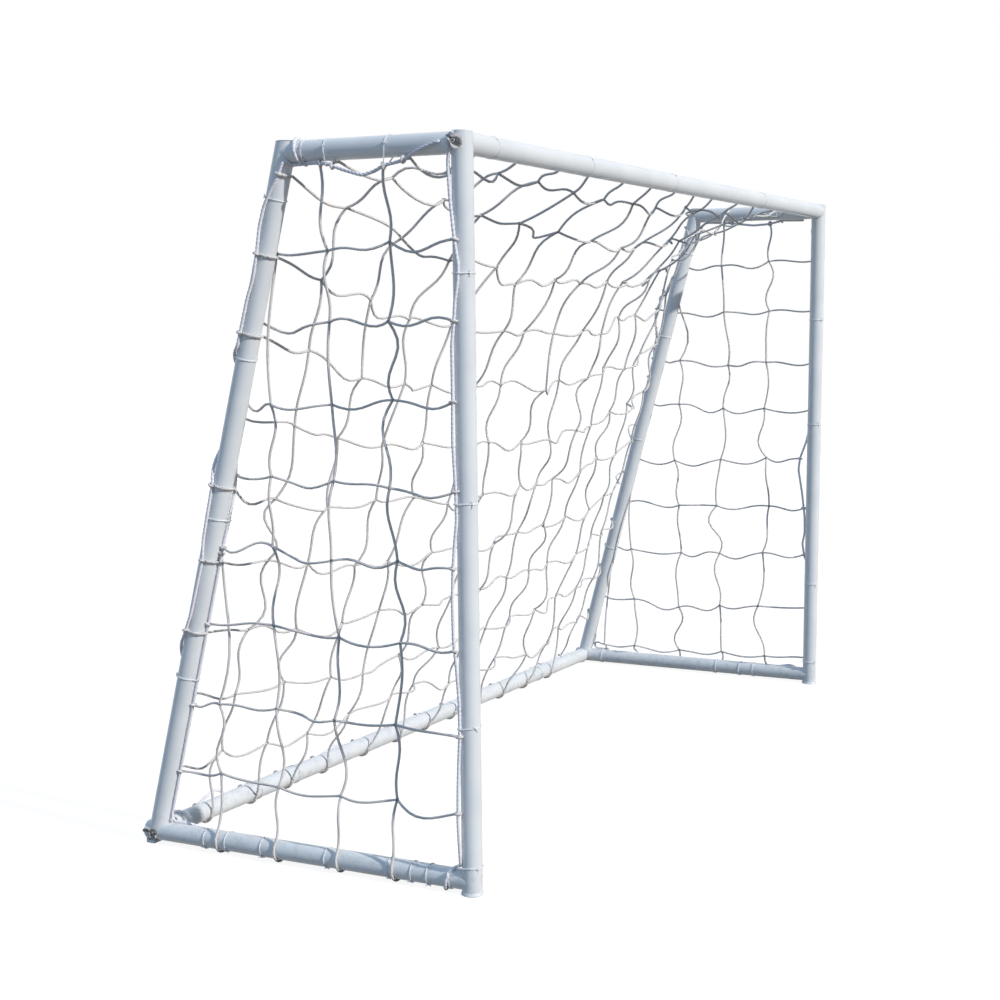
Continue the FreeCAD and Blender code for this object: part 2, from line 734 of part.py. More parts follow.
def slack_panel(name, first, last):
    """Part of the slack net as one closed sheet of flat facets, step by step across the goal."""
    reach = number("Layout.net_x")
    rows = [
        edges_of_band(sagging_line(weight), first, last, reach * step)
        for step, weight in SAG_STEPS
    ]
    faces = [facet(*rows[end][0], *rows[end][1][::-1]) for end in (0, -1)]
    for (upper, under), (next_upper, next_under) in zip(rows, rows[1:]):
        for here, there in ((upper, next_upper), (under, next_under)):
            for index in range(last - first):
                faces += halves(here[index], here[index + 1], there[index + 1], there[index])
        for index in (0, -1):
            faces += halves(upper[index], under[index], next_under[index], next_upper[index])
    skin = Part.Compound(faces)
    skin.sewShape()
    body = Part.Solid(skin.Shells[0])
    if body.Volume < 0:
        body.reverse()
    item = doc.addObject("Part::Feature", name)
    item.Shape = body
    return item


def roof_net():
    """The roof panel, from the crossbar's rope back to the top of the back panel."""
    return slack_panel("roof_net", 0, 2)


def back_net():
    """The back panel, from the roof panel down to the ground rope."""
    return slack_panel("back_net", 2, 5)


# ---------------------------------------------------------------- ties


def tie_outline(round_tube, round_rope):
    """Corners of a belt round the tube, on the origin, and round the rope below it.

    Eight corners go round the tube and two round the rope, and the runs between them only
    touch the two circles.
    """
    corners = []
    reach = f"{round_tube} / cos(Layout.tie_step / 2)"
    for index in range(8):
        turn = f"(Layout.tie_spread + {index + 0.5} * Layout.tie_step - 90 deg)"
        corners.append((f"{reach} * cos{turn}", f"{reach} * sin{turn}"))
    reach = f"{round_rope} / cos(Layout.tie_spread / 2)"
    for sign in ("-", ""):
        turn = f"({sign}Layout.tie_spread / 2 - 90 deg)"
        corners.append((f"{reach} * cos{turn}", f"{reach} * sin{turn} - Layout.rope_line"))
    return corners


def net_tie():
    """A cable tie: a belt round tube and rope, with its head on the far side from the rope."""
    body = doc.addObject("PartDesign::Body", "tie_pattern")
    belt = new_sketch(body, "tie_belt_outline", "XY_Plane")
    add_polygon(belt, tie_outline("Layout.tie_out", "Layout.rope_tie_out"))
    add_polygon(belt, tie_outline("Layout.tie_in", "Layout.rope_tie_in"))
    pad(body, "tie_belt", belt, "Sizes.tie_width", "Symmetric")
    head = new_sketch(body, "tie_head_outline", "XY_Plane")
    near = "Sizes.tie_head * 0.6"
    far = "Sizes.tie_head * 1.6"
    top = "Layout.tie_out + Sizes.tie_head * 0.55"
    add_polygon(head, (
        (near, "Layout.tie_in"), (far, "Layout.tie_in"), (far, top), (near, top),
    ))
    pad(body, "tie_head", head, "Sizes.tie_head", "Symmetric")
    return body


def tie_group(name, pattern, spots):
    """Copies of the tie as one group: each spot is a position and a rotation in words."""
    links = []
    for index, (position, rotation) in enumerate(spots, start=1):
        link = doc.addObject("App::Link", f"{name}_{index}")
        link.LinkedObject = pattern
        where = "; ".join(position)
        link.setExpression("LinkPlacement", f"placement(vector({where}); {rotation})")
        links.append(link)
    group = doc.addObject("Part::Compound", name)
    group.Links = links
    return group


def upright_spots():
    """Ties on the front posts: the rope is behind."""
    for word, side in SIDES:
        for share in POST_TIES[word]:
            yield (
                (f"{side} * Layout.post_x", "Layout.front_y",
                 f"Layout.low_z + {share} * Layout.rise"),
                "rotationz(180)",
            )


def leaning_spots():
    """Ties on the rear posts: the rope is in front."""
    for word, side in SIDES:
        for share in REAR_TIES[word]:
            yield (
                (f"{side} * Layout.post_x",
                 f"Layout.rear_y - {share} * Layout.rise * Layout.slope",
                 f"Layout.low_z + {share} * Layout.rise"),
                "rotationx(Layout.lean)",
            )


def roof_spots():
    """Ties on the top bars: the rope is below."""
    for word, side in SIDES:
        for share in TOP_TIES[word]:
            yield (
                (f"{side} * Layout.post_x", f"Layout.front_y + {share} * Sizes.roof_depth",
                 "Layout.top_z"),
                "rotationx(90)",
            )


def ground_spots():
    """Ties on the bottom bars: the rope is above."""
    for word, side in SIDES:
        for share in BOTTOM_TIES[word]:
            yield (
                (f"{side} * Layout.post_x", f"Layout.front_y + {share} * Layout.run_depth",
                 "Layout.low_z"),
                "rotationx(-90)",
            )


def crossbar_spots():
    """Ties on the crossbar: the rope is behind."""
    for share in CROSSBAR_TIES:
        yield (
            (f"(2 * {share} - 1) * Layout.post_x", "Layout.front_y", "Layout.top_z"),
            "rotationx(180) * rotationy(90)",
        )


def ground_bar_spots():
    """Ties on the ground bar: the rope is above, towards the back panel."""
    for share in GROUND_TIES:
        yield (
            (f"(2 * {share} - 1) * Layout.post_x", "Layout.rear_y", "Layout.low_z"),
            "rotationx(Layout.lean) * rotationx(-90) * rotationy(90)",
        )


# ---------------------------------------------------------------- the whole goal

nodes = []


def keep(item):
    """Add a finished sub-part; its label is its name."""
    item.Label = item.Name
    nodes.append(item)


for word, side in SIDES:
    across = f"{side} * Layout.post_x"
    keep(place(front_post(f"front_post_{word}"), (across, "Layout.front_y", "Layout.foot_rim")))
    keep(place(bottom_bar(f"bottom_bar_{word}"), (across, "0", "0")))
    keep(place(top_bar(f"top_bar_{word}"), (across, "0", "0")))
    keep(place(rear_post(f"rear_post_{word}"), (across, "0", "0")))
    keep(place(front_foot(f"front_foot_{word}"), (across, "Layout.front_y", "0")))
    keep(place(post_cap(f"post_cap_{word}"), (across, "Layout.front_y", "Sizes.goal_height")))
    keep(place(rear_post_cap(f"rear_post_cap_{word}"), (across, "0", "0")))
    rear_end = "Layout.rear_y + Layout.tube_r"
    keep(place(rear_foot(f"rear_foot_{word}"), (across, rear_end, "0")))

keep(crossbar())
keep(ground_bar())

CORNERS = (
    ("top", "Layout.front_y", "Layout.top_z"),
    ("bottom", "Layout.rear_y", "Layout.low_z"),
)
studs = []
washers = []
for level, position_y, height in CORNERS:
    for word, side in SIDES:
        tag = f"{level}_{word}"
        studs.append(outward(stud_plug(f"stud_plug_{tag}"), side, position_y, height))
        washers.append(outward(washer(f"washer_{tag}"), side, position_y, height))
        nut = wing_nut(f"wing_nut_{tag}")
        turn = NUT_TURNS[tag]
        keep(turned_outward(nut, side, position_y, height, "Layout.nut_seat", turn))

stud_group = doc.addObject("Part::Compound", "stud_plugs")
stud_group.Links = studs
keep(stud_group)
washer_group = doc.addObject("Part::Compound", "washers")
washer_group.Links = washers
keep(washer_group)

for word, side in SIDES:
    across = f"{side} * Layout.post_x"
    keep(place(side_net(f"side_net_{word}"), (across, "0", "0")))
    keep(place(side_rope(f"side_rope_{word}"), (across, "0", "0")))
keep(roof_net())
keep(back_net())
keep(cross_rope("crossbar_rope", "Layout.front_y + Layout.rope_line", "Layout.top_z"))
keep(cross_rope(
    "ground_rope",
    "Layout.rear_y - Layout.rope_line * Layout.lean_sin",
    "Layout.low_z + Layout.rope_line * Layout.lean_cos",
))

tie = net_tie()
keep(tie_group("post_ties", tie, upright_spots()))
keep(tie_group("rear_post_ties", tie, leaning_spots()))
keep(tie_group("top_bar_ties", tie, roof_spots()))
keep(tie_group("bottom_bar_ties", tie, ground_spots()))
keep(tie_group("crossbar_ties", tie, crossbar_spots()))
keep(tie_group("ground_bar_ties", tie, ground_bar_spots()))

doc.recompute()

for item in doc.Objects:
    if "Invalid" in item.State or "Error" in item.State:
        raise RuntimeError(f"{item.Name} did not build: {item.State}")

os.makedirs("parts", exist_ok=True)
for item in nodes:
    shape = item.Shape
    if shape.isNull() or not shape.isValid() or not shape.Solids:
        raise RuntimeError(f"{item.Name} has no valid solid")
    shape.exportStep(os.path.join("parts", item.Label + ".step"))
    print(f"{item.Label}: {len(shape.Solids)} solid(s), {shape.Volume / 1000:.2f} cm3")
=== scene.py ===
"""Looks of a small garden goal: painted tubes, knotted net, laid ropes and nylon ties."""
import logging
import math
from dataclasses import dataclass, field
from enum import Enum
from typing import Optional, Sequence

import bpy
import numpy as np
from mathutils import Matrix, Vector


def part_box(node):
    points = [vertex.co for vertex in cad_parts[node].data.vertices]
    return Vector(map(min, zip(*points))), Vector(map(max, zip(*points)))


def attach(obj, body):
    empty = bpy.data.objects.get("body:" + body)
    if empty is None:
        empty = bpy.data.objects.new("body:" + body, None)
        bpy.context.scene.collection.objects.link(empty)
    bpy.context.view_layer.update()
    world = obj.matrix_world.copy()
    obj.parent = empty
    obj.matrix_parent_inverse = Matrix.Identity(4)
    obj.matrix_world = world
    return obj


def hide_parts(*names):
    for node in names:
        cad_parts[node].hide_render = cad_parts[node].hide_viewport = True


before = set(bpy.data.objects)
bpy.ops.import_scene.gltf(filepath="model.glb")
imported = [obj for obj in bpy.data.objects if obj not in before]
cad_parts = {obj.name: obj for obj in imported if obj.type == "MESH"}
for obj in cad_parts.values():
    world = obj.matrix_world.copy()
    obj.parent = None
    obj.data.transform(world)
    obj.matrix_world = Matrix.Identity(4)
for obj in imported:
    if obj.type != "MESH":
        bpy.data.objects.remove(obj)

log = logging.getLogger("goal")

Array = np.ndarray
BODY = "goal"
X_AXIS = np.array([1.0, 0.0, 0.0])

# Radius of the net's twine, and how far a strand stays off the tube that it goes round.
TWINE = 0.0023
CLEAR = 0.0004


# ------------------------------------------------------------------ meshes from arrays


@dataclass
class Shell:
    """A closed surface as arrays: corner points, faces and one (u, v) pair for each face corner."""

    points: Array
    quads: Array
    quad_uv: Array
    tris: Array = field(default_factory=lambda: np.zeros((0, 3), int))
    tri_uv: Array = field(default_factory=lambda: np.zeros((0, 3, 2)))

    def moved(self, turns: Array, places: Array) -> "Shell":
        """Copies of the shell, each turned and then moved.

        Args:
            turns: One 3 x 3 matrix for each copy, applied as matrix times point.
            places: One point for each copy.

        Returns:
            One shell that holds all the copies.
        """
        count, size = len(places), len(self.points)
        points = np.einsum("kij,nj->kni", turns, self.points) + places[:, None, :]
        steps = (np.arange(count) * size)[:, None, None]
        return Shell(
            points.reshape(-1, 3),
            (self.quads[None] + steps).reshape(-1, 4),
            np.tile(self.quad_uv, (count, 1, 1)),
            (self.tris[None] + steps).reshape(-1, 3),
            np.tile(self.tri_uv, (count, 1, 1)),
        )


def joined(shells: Sequence[Shell]) -> Shell:
    """Puts several shells into one.

    Args:
        shells: The shells, in order.

    Returns:
        One shell with the points and faces of them all.
    """
    starts = np.cumsum([0] + [len(s.points) for s in shells[:-1]])
    return Shell(
        np.concatenate([s.points for s in shells]),
        np.concatenate([s.quads + k for s, k in zip(shells, starts)]),
        np.concatenate([s.quad_uv for s in shells]),
        np.concatenate([s.tris + k for s, k in zip(shells, starts)]),
        np.concatenate([s.tri_uv for s in shells]),
    )


def unit(vectors: Array) -> Array:
    """The vectors at length 1."""
    return vectors / np.maximum(np.linalg.norm(vectors, axis=-1, keepdims=True), 1e-12)


def arc_lengths(path: Array) -> Array:
    """Length along a path at each of its points, starting at 0."""
    return np.concatenate([[0.0], np.cumsum(np.linalg.norm(np.diff(path, axis=0), axis=1))])


def at_lengths(path: Array, wanted: Array) -> Array:
    """Points of a path at given lengths along it, straight between its own points."""
    own = arc_lengths(path)
    return np.stack([np.interp(wanted, own, path[:, k]) for k in range(path.shape[1])], axis=1)


def vectors(*values: object) -> list:
    """Numbers and arrays as arrays of one and the same length."""
    return np.broadcast_arrays(*(np.atleast_1d(v).astype(float) for v in values))


def band_quads(rows: int, count: int, sides: int) -> Array:
    """Faces between the rows of a grid of points whose rows close on themselves.

    Face (i, j) joins the points (i, j), (i, j + 1), (i + 1, j + 1) and (i + 1, j), where each
    index starts again at 0 past its own count.

    Args:
        rows: Rows of faces.
        count: Rows of points.
        sides: Points in a row.

    Returns:
        Four point numbers for each face.
    """
    i, j = np.arange(rows)[:, None], np.arange(sides)[None]
    above, after = (i + 1) % count, (j + 1) % sides
    corner = (i * sides + j, i * sides + after, above * sides + after, above * sides + j)
    return np.stack(np.broadcast_arrays(*corner), -1).reshape(-1, 4)


def end_fans(count: int, sides: int) -> Array:
    """Triangles that close the first and last row of such a grid on two points past its end.

    Args:
        count: Rows of points.
        sides: Points in a row.

    Returns:
        Three point numbers for each triangle, the first row's triangles first.
    """
    edge = np.arange(sides)
    after, last = (edge + 1) % sides, (count - 1) * sides
    tip = np.full(sides, count * sides)
    first = np.stack([after, edge, tip], 1)
    return np.vstack([first, np.stack([last + edge, last + after, tip + 1], 1)])


def swept(
    path: Array,
    across: Array,
    outline: Array,
    twist: Optional[Array] = None,
    grow: Optional[Array] = None,
    ring: bool = False,
) -> Shell:
    """Carries a closed outline along a path.

    The point (i, j) is path[i] + x * side[i] + y * up[i], where (x, y) is outline point j turned
    by twist[i] and scaled by grow[i], side is the across vector made square to the path, and up
    is the path's direction crossed with side. The ends are closed with a fan.

    Args:
        path: Points along the middle, n x 3.
        across: Vectors that fix the outline's x direction, n x 3 or one vector.
        outline: Points of the outline, m x 2, counter-clockwise.
        twist: Turn of the outline at each point, in radians.
        grow: Scale of the outline at each point.
        ring: True when the path closes on itself.

    Returns:
        The closed shell, with u the length along the path and v the share round the outline.
    """
    count, sides = len(path), len(outline)
    if ring:
        forward = unit(np.roll(path, -1, axis=0) - np.roll(path, 1, axis=0))
    else:
        forward = unit(np.gradient(path, axis=0))
    across = np.broadcast_to(across, path.shape)
    side = unit(across - np.sum(across * forward, axis=1, keepdims=True) * forward)
    up = np.cross(forward, side)
    flat = np.broadcast_to(outline, (count, sides, 2))
    if twist is not None:
        c, s = np.cos(twist)[:, None], np.sin(twist)[:, None]
        flat = np.stack([flat[..., 0] * c - flat[..., 1] * s, flat[..., 0] * s + flat[..., 1] * c], -1)
    if grow is not None:
        flat = flat * grow[:, None, None]
    points = path[:, None] + flat[..., :1] * side[:, None] + flat[..., 1:] * up[:, None]
    points = points.reshape(-1, 3)
    far = arc_lengths(np.vstack([path, path[:1]]) if ring else path)
    u0, u1 = far[:-1][:, None], far[1:][:, None]
    v0, v1 = np.arange(sides) / sides, (np.arange(sides) + 1) / sides
    uv = [np.stack(np.broadcast_arrays(u, v), -1) for u, v in ((u0, v0), (u0, v1), (u1, v1), (u1, v0))]
    faces = band_quads(count if ring else count - 1, count, sides)
    shell = Shell(points, faces, np.stack(uv, 2).reshape(-1, 4, 2))
    if ring:
        return shell
    shell.points = np.vstack([points, path[:1], path[-1:]])
    shell.tris = end_fans(count, sides)
    edge = np.stack([np.zeros(sides), v0], 1)
    corner = np.stack([edge, edge, edge], 1)
    shell.tri_uv = np.concatenate([corner, corner + [far[-1], 0.0]])
    return shell


def circle(radius: float, sides: int) -> Array:
    """Outline of a round section: points at even angles on a circle."""
    turn = np.arange(sides) * 2 * math.pi / sides
    return radius * np.stack([np.cos(turn), np.sin(turn)], 1)


def lobed(radius: float, strands: int = 3, per_strand: int = 5, depth: float = 0.5) -> Array:
    """Outline of a laid rope: strands of equal size that touch, seen end on, and soft between.

    A point at angle a from its strand's own direction lies at e cos a + sqrt(s s - e e sin a
    sin a), with e the strand's distance from the middle and s its radius. Its gap to the outer
    circle is then made depth times as deep.

    Args:
        radius: Outer radius of the rope.
        strands: How many strands it is laid from.
        per_strand: Points on each strand.
        depth: Share of the furrows between the strands that is left.

    Returns:
        The outline's points, counter-clockwise.
    """
    half = math.pi / strands
    e = radius / (1 + math.sin(half))
    s = radius - e
    a = (np.arange(per_strand) + 0.5) / per_strand * 2 * half - half
    far = e * np.cos(a) + np.sqrt(np.maximum(s * s - (e * np.sin(a)) ** 2, 0.0))
    turn = (np.arange(strands) * 2 * half)[:, None] + a[None, :]
    reach = np.broadcast_to(radius - depth * (radius - far), turn.shape)
    return np.stack([(reach * np.cos(turn)).ravel(), (reach * np.sin(turn)).ravel()], 1)


def lump(sizes: Sequence[float], power: float = 0.8, steps: int = 10, rings: int = 5) -> Shell:
    """A box with well rounded edges, as a superellipsoid.

    Each coordinate is half the size times a power of the cosines and sines of two angles, where
    the power is 1 for an ellipsoid and near 0 for a sharp box.

    Args:
        sizes: Full size along each axis.
        power: Power of the cosines and sines.
        steps: Points round the shape.
        rings: Rows of points between the poles.

    Returns:
        The closed shell round the origin.
    """
    turn = np.arange(steps) * 2 * math.pi / steps
    tilt = ((np.arange(rings) + 1) / (rings + 1) - 0.5) * math.pi
    across, along, out, rise = (
        np.sign(v) * np.abs(v) ** power for v in (np.cos(turn), np.sin(turn), np.cos(tilt), np.sin(tilt))
    )
    x, y = out[:, None] * across, out[:, None] * along
    grid = np.stack([x, y, np.broadcast_to(rise[:, None], x.shape)], -1).reshape(-1, 3)
    points = np.vstack([grid, [[0, 0, -1], [0, 0, 1]]]) * np.array(sizes) / 2
    quads, tris = band_quads(rings - 1, rings, steps), end_fans(rings, steps)
    return Shell(points, quads, np.zeros((len(quads), 4, 2)), tris, np.zeros((len(tris), 3, 2)))


def ring_shell(ring: float, bar: float, steps: int, sides: int) -> Shell:
    """A torus about the X axis: a circle of radius bar carried round a circle of radius ring.

    Args:
        ring: Radius of the circle that the bar follows.
        bar: Radius of the bar.
        steps: Points round the ring.
        sides: Points round the bar.

    Returns:
        The closed shell.
    """
    turn = np.arange(steps) * 2 * math.pi / steps
    path = ring * np.stack([np.zeros(steps), np.cos(turn), np.sin(turn)], 1)
    return swept(path, X_AXIS, circle(bar, sides), ring=True)


def piece(name: str, shell: Shell, finish: "Finish", nodes: Sequence[str]) -> None:
    """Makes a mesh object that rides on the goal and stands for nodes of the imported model.

    Args:
        name: The piece's name.
        shell: Its surface.
        finish: Its finish.
        nodes: The nodes that it replaces, if any.
    """
    mesh = bpy.data.meshes.new(name)
    count, corners = len(shell.quads), np.concatenate([shell.quads.ravel(), shell.tris.ravel()])
    starts = np.concatenate([np.arange(count) * 4, count * 4 + np.arange(len(shell.tris)) * 3])
    mesh.vertices.add(len(shell.points))
    mesh.loops.add(len(corners))
    mesh.polygons.add(len(starts))
    mesh.vertices.foreach_set("co", shell.points.astype(np.float32).ravel())
    mesh.polygons.foreach_set("loop_start", starts.astype(np.int32))
    mesh.loops.foreach_set("vertex_index", corners.astype(np.int32))
    mesh.polygons.foreach_set("use_smooth", np.ones(len(starts), bool))
    mesh.update(calc_edges=True)
    layer = mesh.uv_layers.new(name="Along")
    uv = np.concatenate([shell.quad_uv.reshape(-1, 2), shell.tri_uv.reshape(-1, 2)])
    layer.data.foreach_set("uv", uv.astype(np.float32).ravel())
    mesh.validate()
    mesh.materials.append(finish.material)
    made = bpy.data.objects.new(name, mesh)
    bpy.context.scene.collection.objects.link(made)
    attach(made, BODY)
    if nodes:
        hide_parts(*nodes)
    log.info("%s: %d points, %d faces", name, len(shell.points), len(starts))


# ------------------------------------------------------------------ finishes


class Nodes:
    """A node tree, built a node at a time."""

    def __init__(self, tree: bpy.types.NodeTree) -> None:
        """Takes the tree to build in."""
        self.tree = tree

    def feed(self, socket: bpy.types.NodeSocket, value: object) -> None:
        """Gives a socket its value.

        Args:
            socket: The socket.
            value: A socket to link it to, or its own number, vector or colour of three numbers.
        """
        if isinstance(value, bpy.types.NodeSocket):
            self.tree.links.new(value, socket)
        elif socket.type == "RGBA":
            socket.default_value = (*value, 1.0)
        else:
            socket.default_value = value

    def made(self, kind: str, inputs: dict, output: object = 0, **settings: object) -> object:
        """A new shader node.

        Args:
            kind: Its type, without the words that all shader nodes start with.
            inputs: What its inputs are given, by their names or places.
            output: The name or place of the output that is wanted.
            settings: The node's own settings.

        Returns:
            The output's socket.
        """
        node = self.tree.nodes.new("ShaderNode" + kind)
        for key, value in settings.items():
            setattr(node, key, value)
        for key, value in inputs.items():
            self.feed(node.inputs[key], value)
        return node.outputs[output]

    def math(self, operation: str, *values: object) -> bpy.types.NodeSocket:
        """One sum of up to three values."""
        return self.made("Math", dict(enumerate(values)), operation=operation)

    def times(self, first: object, second: object) -> bpy.types.NodeSocket:
        """The product of two values."""
        return self.math("MULTIPLY", first, second)

    def mix(self, share: object, first: object, second: object) -> bpy.types.NodeSocket:
        """A colour between two colours, whose sockets come after those for numbers and vectors."""
        return self.made("Mix", {0: share, 6: first, 7: second}, 2, data_type="RGBA")


class Recipe(Nodes):
    """A material's nodes round one shader, with scales in cells for each metre."""

    def __init__(self, name: str, fixed: dict) -> None:
        """Starts the material.

        Args:
            name: The material's name.
            fixed: What is the same all over, by the name of the shader's own socket.
        """
        self.material = bpy.data.materials.new(name)
        self.material.use_nodes = True
        super().__init__(self.material.node_tree)
        self.shader = self.tree.nodes["Principled BSDF"]
        for socket, value in fixed.items():
            self.feed(self.shader.inputs[socket], value)
        self.place, self.along = self.made("TexCoord", {}, "Object"), self.made("TexCoord", {}, "UV")

    def noise(self, scale: float, detail: float = 2.0, rough: float = 0.5) -> bpy.types.NodeSocket:
        """Cloudy noise between 0 and 1, with some finer layers of a given strength."""
        inputs = {"Vector": self.place, "Scale": scale, "Detail": detail, "Roughness": rough}
        return self.made("TexNoise", inputs, "Fac")

    def grain(self, fine: float, coarse: float, share: float, detail: float = 2.0) -> bpy.types.NodeSocket:
        """Fine noise with a share of coarser noise added."""
        return self.math("ADD", self.noise(fine, detail), self.times(self.noise(coarse, detail), share))

    def cells(self, scale: float) -> bpy.types.NodeSocket:
        """Distance to the nearest of scattered points."""
        return self.made("TexVoronoi", {"Vector": self.place, "Scale": scale}, "Distance")

    def ramp(self, value: object, low: float, high: float, start: float = 0.0, end: float = 1.0) -> object:
        """Maps low to high onto start to end, and holds it there outside."""
        inputs = dict(enumerate((value, low, high, start, end)))
        return self.made("MapRange", inputs, interpolation_type="SMOOTHSTEP")

    def patches(self, scale: float, low: float, high: float, detail: float = 3.0) -> bpy.types.NodeSocket:
        """Noise that runs from low to high, for roughness that varies from patch to patch."""
        return self.ramp(self.noise(scale, detail), 0.3, 0.7, low, high)

    def axis(self, which: str, source: bpy.types.NodeSocket) -> bpy.types.NodeSocket:
        """One coordinate of a point."""
        return self.made("SeparateXYZ", {0: source}, which)

    def done(
        self, colour: object, roughness: object, height: object, depth: float, strength: float
    ) -> bpy.types.Material:
        """Feeds the shader.

        Args:
            colour: Base colour.
            roughness: A socket, or nothing where it is the same all over.
            height: Height of the relief between 0 and 1.
            depth: How high a height of 1 stands, in metres.
            strength: How strongly the relief turns the surface.

        Returns:
            The finished material.
        """
        self.feed(self.shader.inputs["Base Color"], colour)
        if roughness is not None:
            self.feed(self.shader.inputs["Roughness"], roughness)
        relief = {"Strength": strength, "Distance": depth, "Height": height}
        self.feed(self.shader.inputs["Normal"], self.made("Bump", relief, "Normal"))
        return self.material


@dataclass(frozen=True)
class PowderCoat:
    """Baked white powder paint: orange peel, a few pits and a little soil near the ground."""

    name: str = "powder_coat"
    colour: tuple = (0.78, 0.805, 0.82)
    tint: tuple = (0.72, 0.75, 0.775)
    soil: tuple = (0.50, 0.49, 0.46)
    soil_top: float = 0.10
    soil_share: float = 0.55
    pits: float = 260.0
    pit_share: float = 0.35
    clouds: float = 14.0
    stains: float = 75.0
    peel: tuple = (620.0, 110.0)
    dull: float = 40.0
    relief: float = 0.00012

    def build(self) -> bpy.types.Material:
        """Makes the finish.

        Returns:
            The material.
        """
        r = Recipe(self.name, {"Roughness": 0.34, "Specular IOR Level": 0.45})
        body = r.mix(r.ramp(r.noise(self.clouds, 3.0), 0.35, 0.75), self.colour, self.tint)
        low = r.ramp(r.axis("Z", r.place), self.soil_top, 0.0)
        patch = r.ramp(r.noise(self.stains, 4.0, 0.65), 0.45, 0.75)
        body = r.mix(r.times(r.times(low, patch), self.soil_share), body, self.soil)
        pits = r.ramp(r.cells(self.pits), 0.10, 0.04)
        body = r.mix(r.times(pits, self.pit_share), body, self.soil)
        height = r.math("SUBTRACT", r.grain(*self.peel, 0.6, 1.0), r.times(pits, 0.8))
        return r.done(body, r.patches(self.dull, 0.28, 0.42), height, self.relief, 0.55)


@dataclass(frozen=True)
class Moulded:
    """Moulded plastic: fine spark texture, cloudy shade and dust."""

    name: str
    colour: tuple
    dust: tuple
    rough: float = 0.5
    clouds: float = 90.0
    spark: tuple = (1500.0, 260.0)
    dull: float = 120.0
    relief: float = 0.00012

    def build(self) -> bpy.types.Material:
        """Makes the finish.

        Returns:
            The material.
        """
        r = Recipe(self.name, {"Roughness": self.rough, "Specular IOR Level": 0.4})
        dusty = r.times(r.ramp(r.noise(self.clouds, 4.0, 0.6), 0.4, 0.75), 0.4)
        body = r.mix(dusty, self.colour, self.dust)
        rough = r.patches(self.dull, self.rough - 0.08, self.rough + 0.1)
        return r.done(body, rough, r.grain(*self.spark, 0.7), self.relief, 0.5)


@dataclass(frozen=True)
class Zinc:
    """Zinc plate on steel: mottled crystals, dull patches and, on a stud, a cut thread with painted shade in
    its hollows.
    """

    name: str
    colour: tuple
    dull: tuple
    rough: float
    pitch: float = 0.0
    # Painted shade: the near-black colour laid into the hollows of a stud's thread.
    groove_shade: tuple = (0.10, 0.10, 0.11)
    crystals: float = 420.0
    grit: tuple = (900.0, 220.0)
    patches: float = 300.0
    relief: float = 0.0001
    thread_relief: float = 0.0006

    def build(self) -> bpy.types.Material:
        """Makes the finish.

        Returns:
            The material.
        """
        r = Recipe(self.name, {"Roughness": self.rough, "Metallic": 0.9})
        body = r.mix(r.ramp(r.noise(self.crystals, 3.0, 0.6), 0.35, 0.7), self.colour, self.dull)
        rough = r.patches(self.patches, self.rough - 0.08, self.rough + 0.14)
        if not self.pitch:
            return r.done(body, rough, r.grain(*self.grit, 0.8), self.relief, 0.8)
        turns = r.times(r.axis("X", r.place), 2 * math.pi / self.pitch)
        height = r.math("ADD", r.times(r.math("SINE", turns), 0.5), 0.5)
        # Painted shade: the hollows of the thread take the near-black colour.
        body = r.mix(r.ramp(height, 0.35, 0.0), body, self.groove_shade)
        return r.done(body, rough, height, self.thread_relief, 0.8)


@dataclass(frozen=True)
class Twisted:
    """Yarns that wind round a length of twine or rope, with loose fibre between them, and painted shade in
    the furrows between the yarns.

    Loose fibre gives soft light at the edges, and thin twine lets light soak through it.
    """

    name: str
    colour: tuple
    # Painted shade: the darker colour of the furrows between the yarns.
    groove_shade: tuple
    pitch: float
    yarns: float
    soak: float = 0.0
    rough: float = 0.75
    fuzz: float = 700.0
    clouds: float = 30.0
    fibre: float = 1800.0
    relief: float = 0.0002

    def build(self) -> bpy.types.Material:
        """Makes the finish.

        Returns:
            The material.
        """
        r = Recipe(self.name, {
            "Roughness": self.rough, "Specular IOR Level": 0.25,
            "Subsurface Weight": self.soak, "Subsurface Radius": (1.0, 1.0, 1.0),
            "Subsurface Scale": 0.004, "Sheen Weight": 0.25, "Sheen Roughness": 0.5,
        })
        along, around = r.axis("X", r.along), r.axis("Y", r.along)
        wind = r.math("ADD", r.math("DIVIDE", along, self.pitch), r.times(around, self.yarns))
        fuzz = r.times(r.math("SUBTRACT", r.noise(self.fuzz, 3.0), 0.5), 0.35)
        ridge = r.math("ABSOLUTE", r.math("SINE", r.times(r.math("ADD", wind, fuzz), math.pi)))
        # Painted shade: where the ridge falls low, between the yarns, the colour darkens to the furrow
        # colour.
        body = r.mix(r.ramp(ridge, 0.0, 0.4), self.groove_shade, self.colour)
        body = r.mix(r.times(r.ramp(r.noise(self.clouds, 4.0), 0.4, 0.75), 0.3), body, self.groove_shade)
        height = r.math("ADD", ridge, r.times(r.noise(self.fibre, 2.0), 0.5))
        return r.done(body, None, height, self.relief, 0.4)


@dataclass(frozen=True)
class Nylon:
    """Ties of white nylon cord: fine ribs along it and a slight cloudiness."""

    name: str = "nylon"
    colour: tuple = (0.86, 0.87, 0.89)
    cloud: tuple = (0.72, 0.73, 0.77)
    rib: float = 0.0012
    clouds: float = 160.0
    patches: float = 200.0
    relief: float = 0.00012

    def build(self) -> bpy.types.Material:
        """Makes the finish.

        Returns:
            The material.
        """
        r = Recipe(self.name, {"Roughness": 0.38, "Specular IOR Level": 0.5})
        cloudy = r.times(r.ramp(r.noise(self.clouds, 3.0), 0.4, 0.7), 0.6)
        body = r.mix(cloudy, self.colour, self.cloud)
        ribs = r.math("SINE", r.times(r.axis("X", r.along), 2 * math.pi / self.rib))
        return r.done(body, r.patches(self.patches, 0.3, 0.46, 2.0), r.times(ribs, 0.5), self.relief, 0.5)


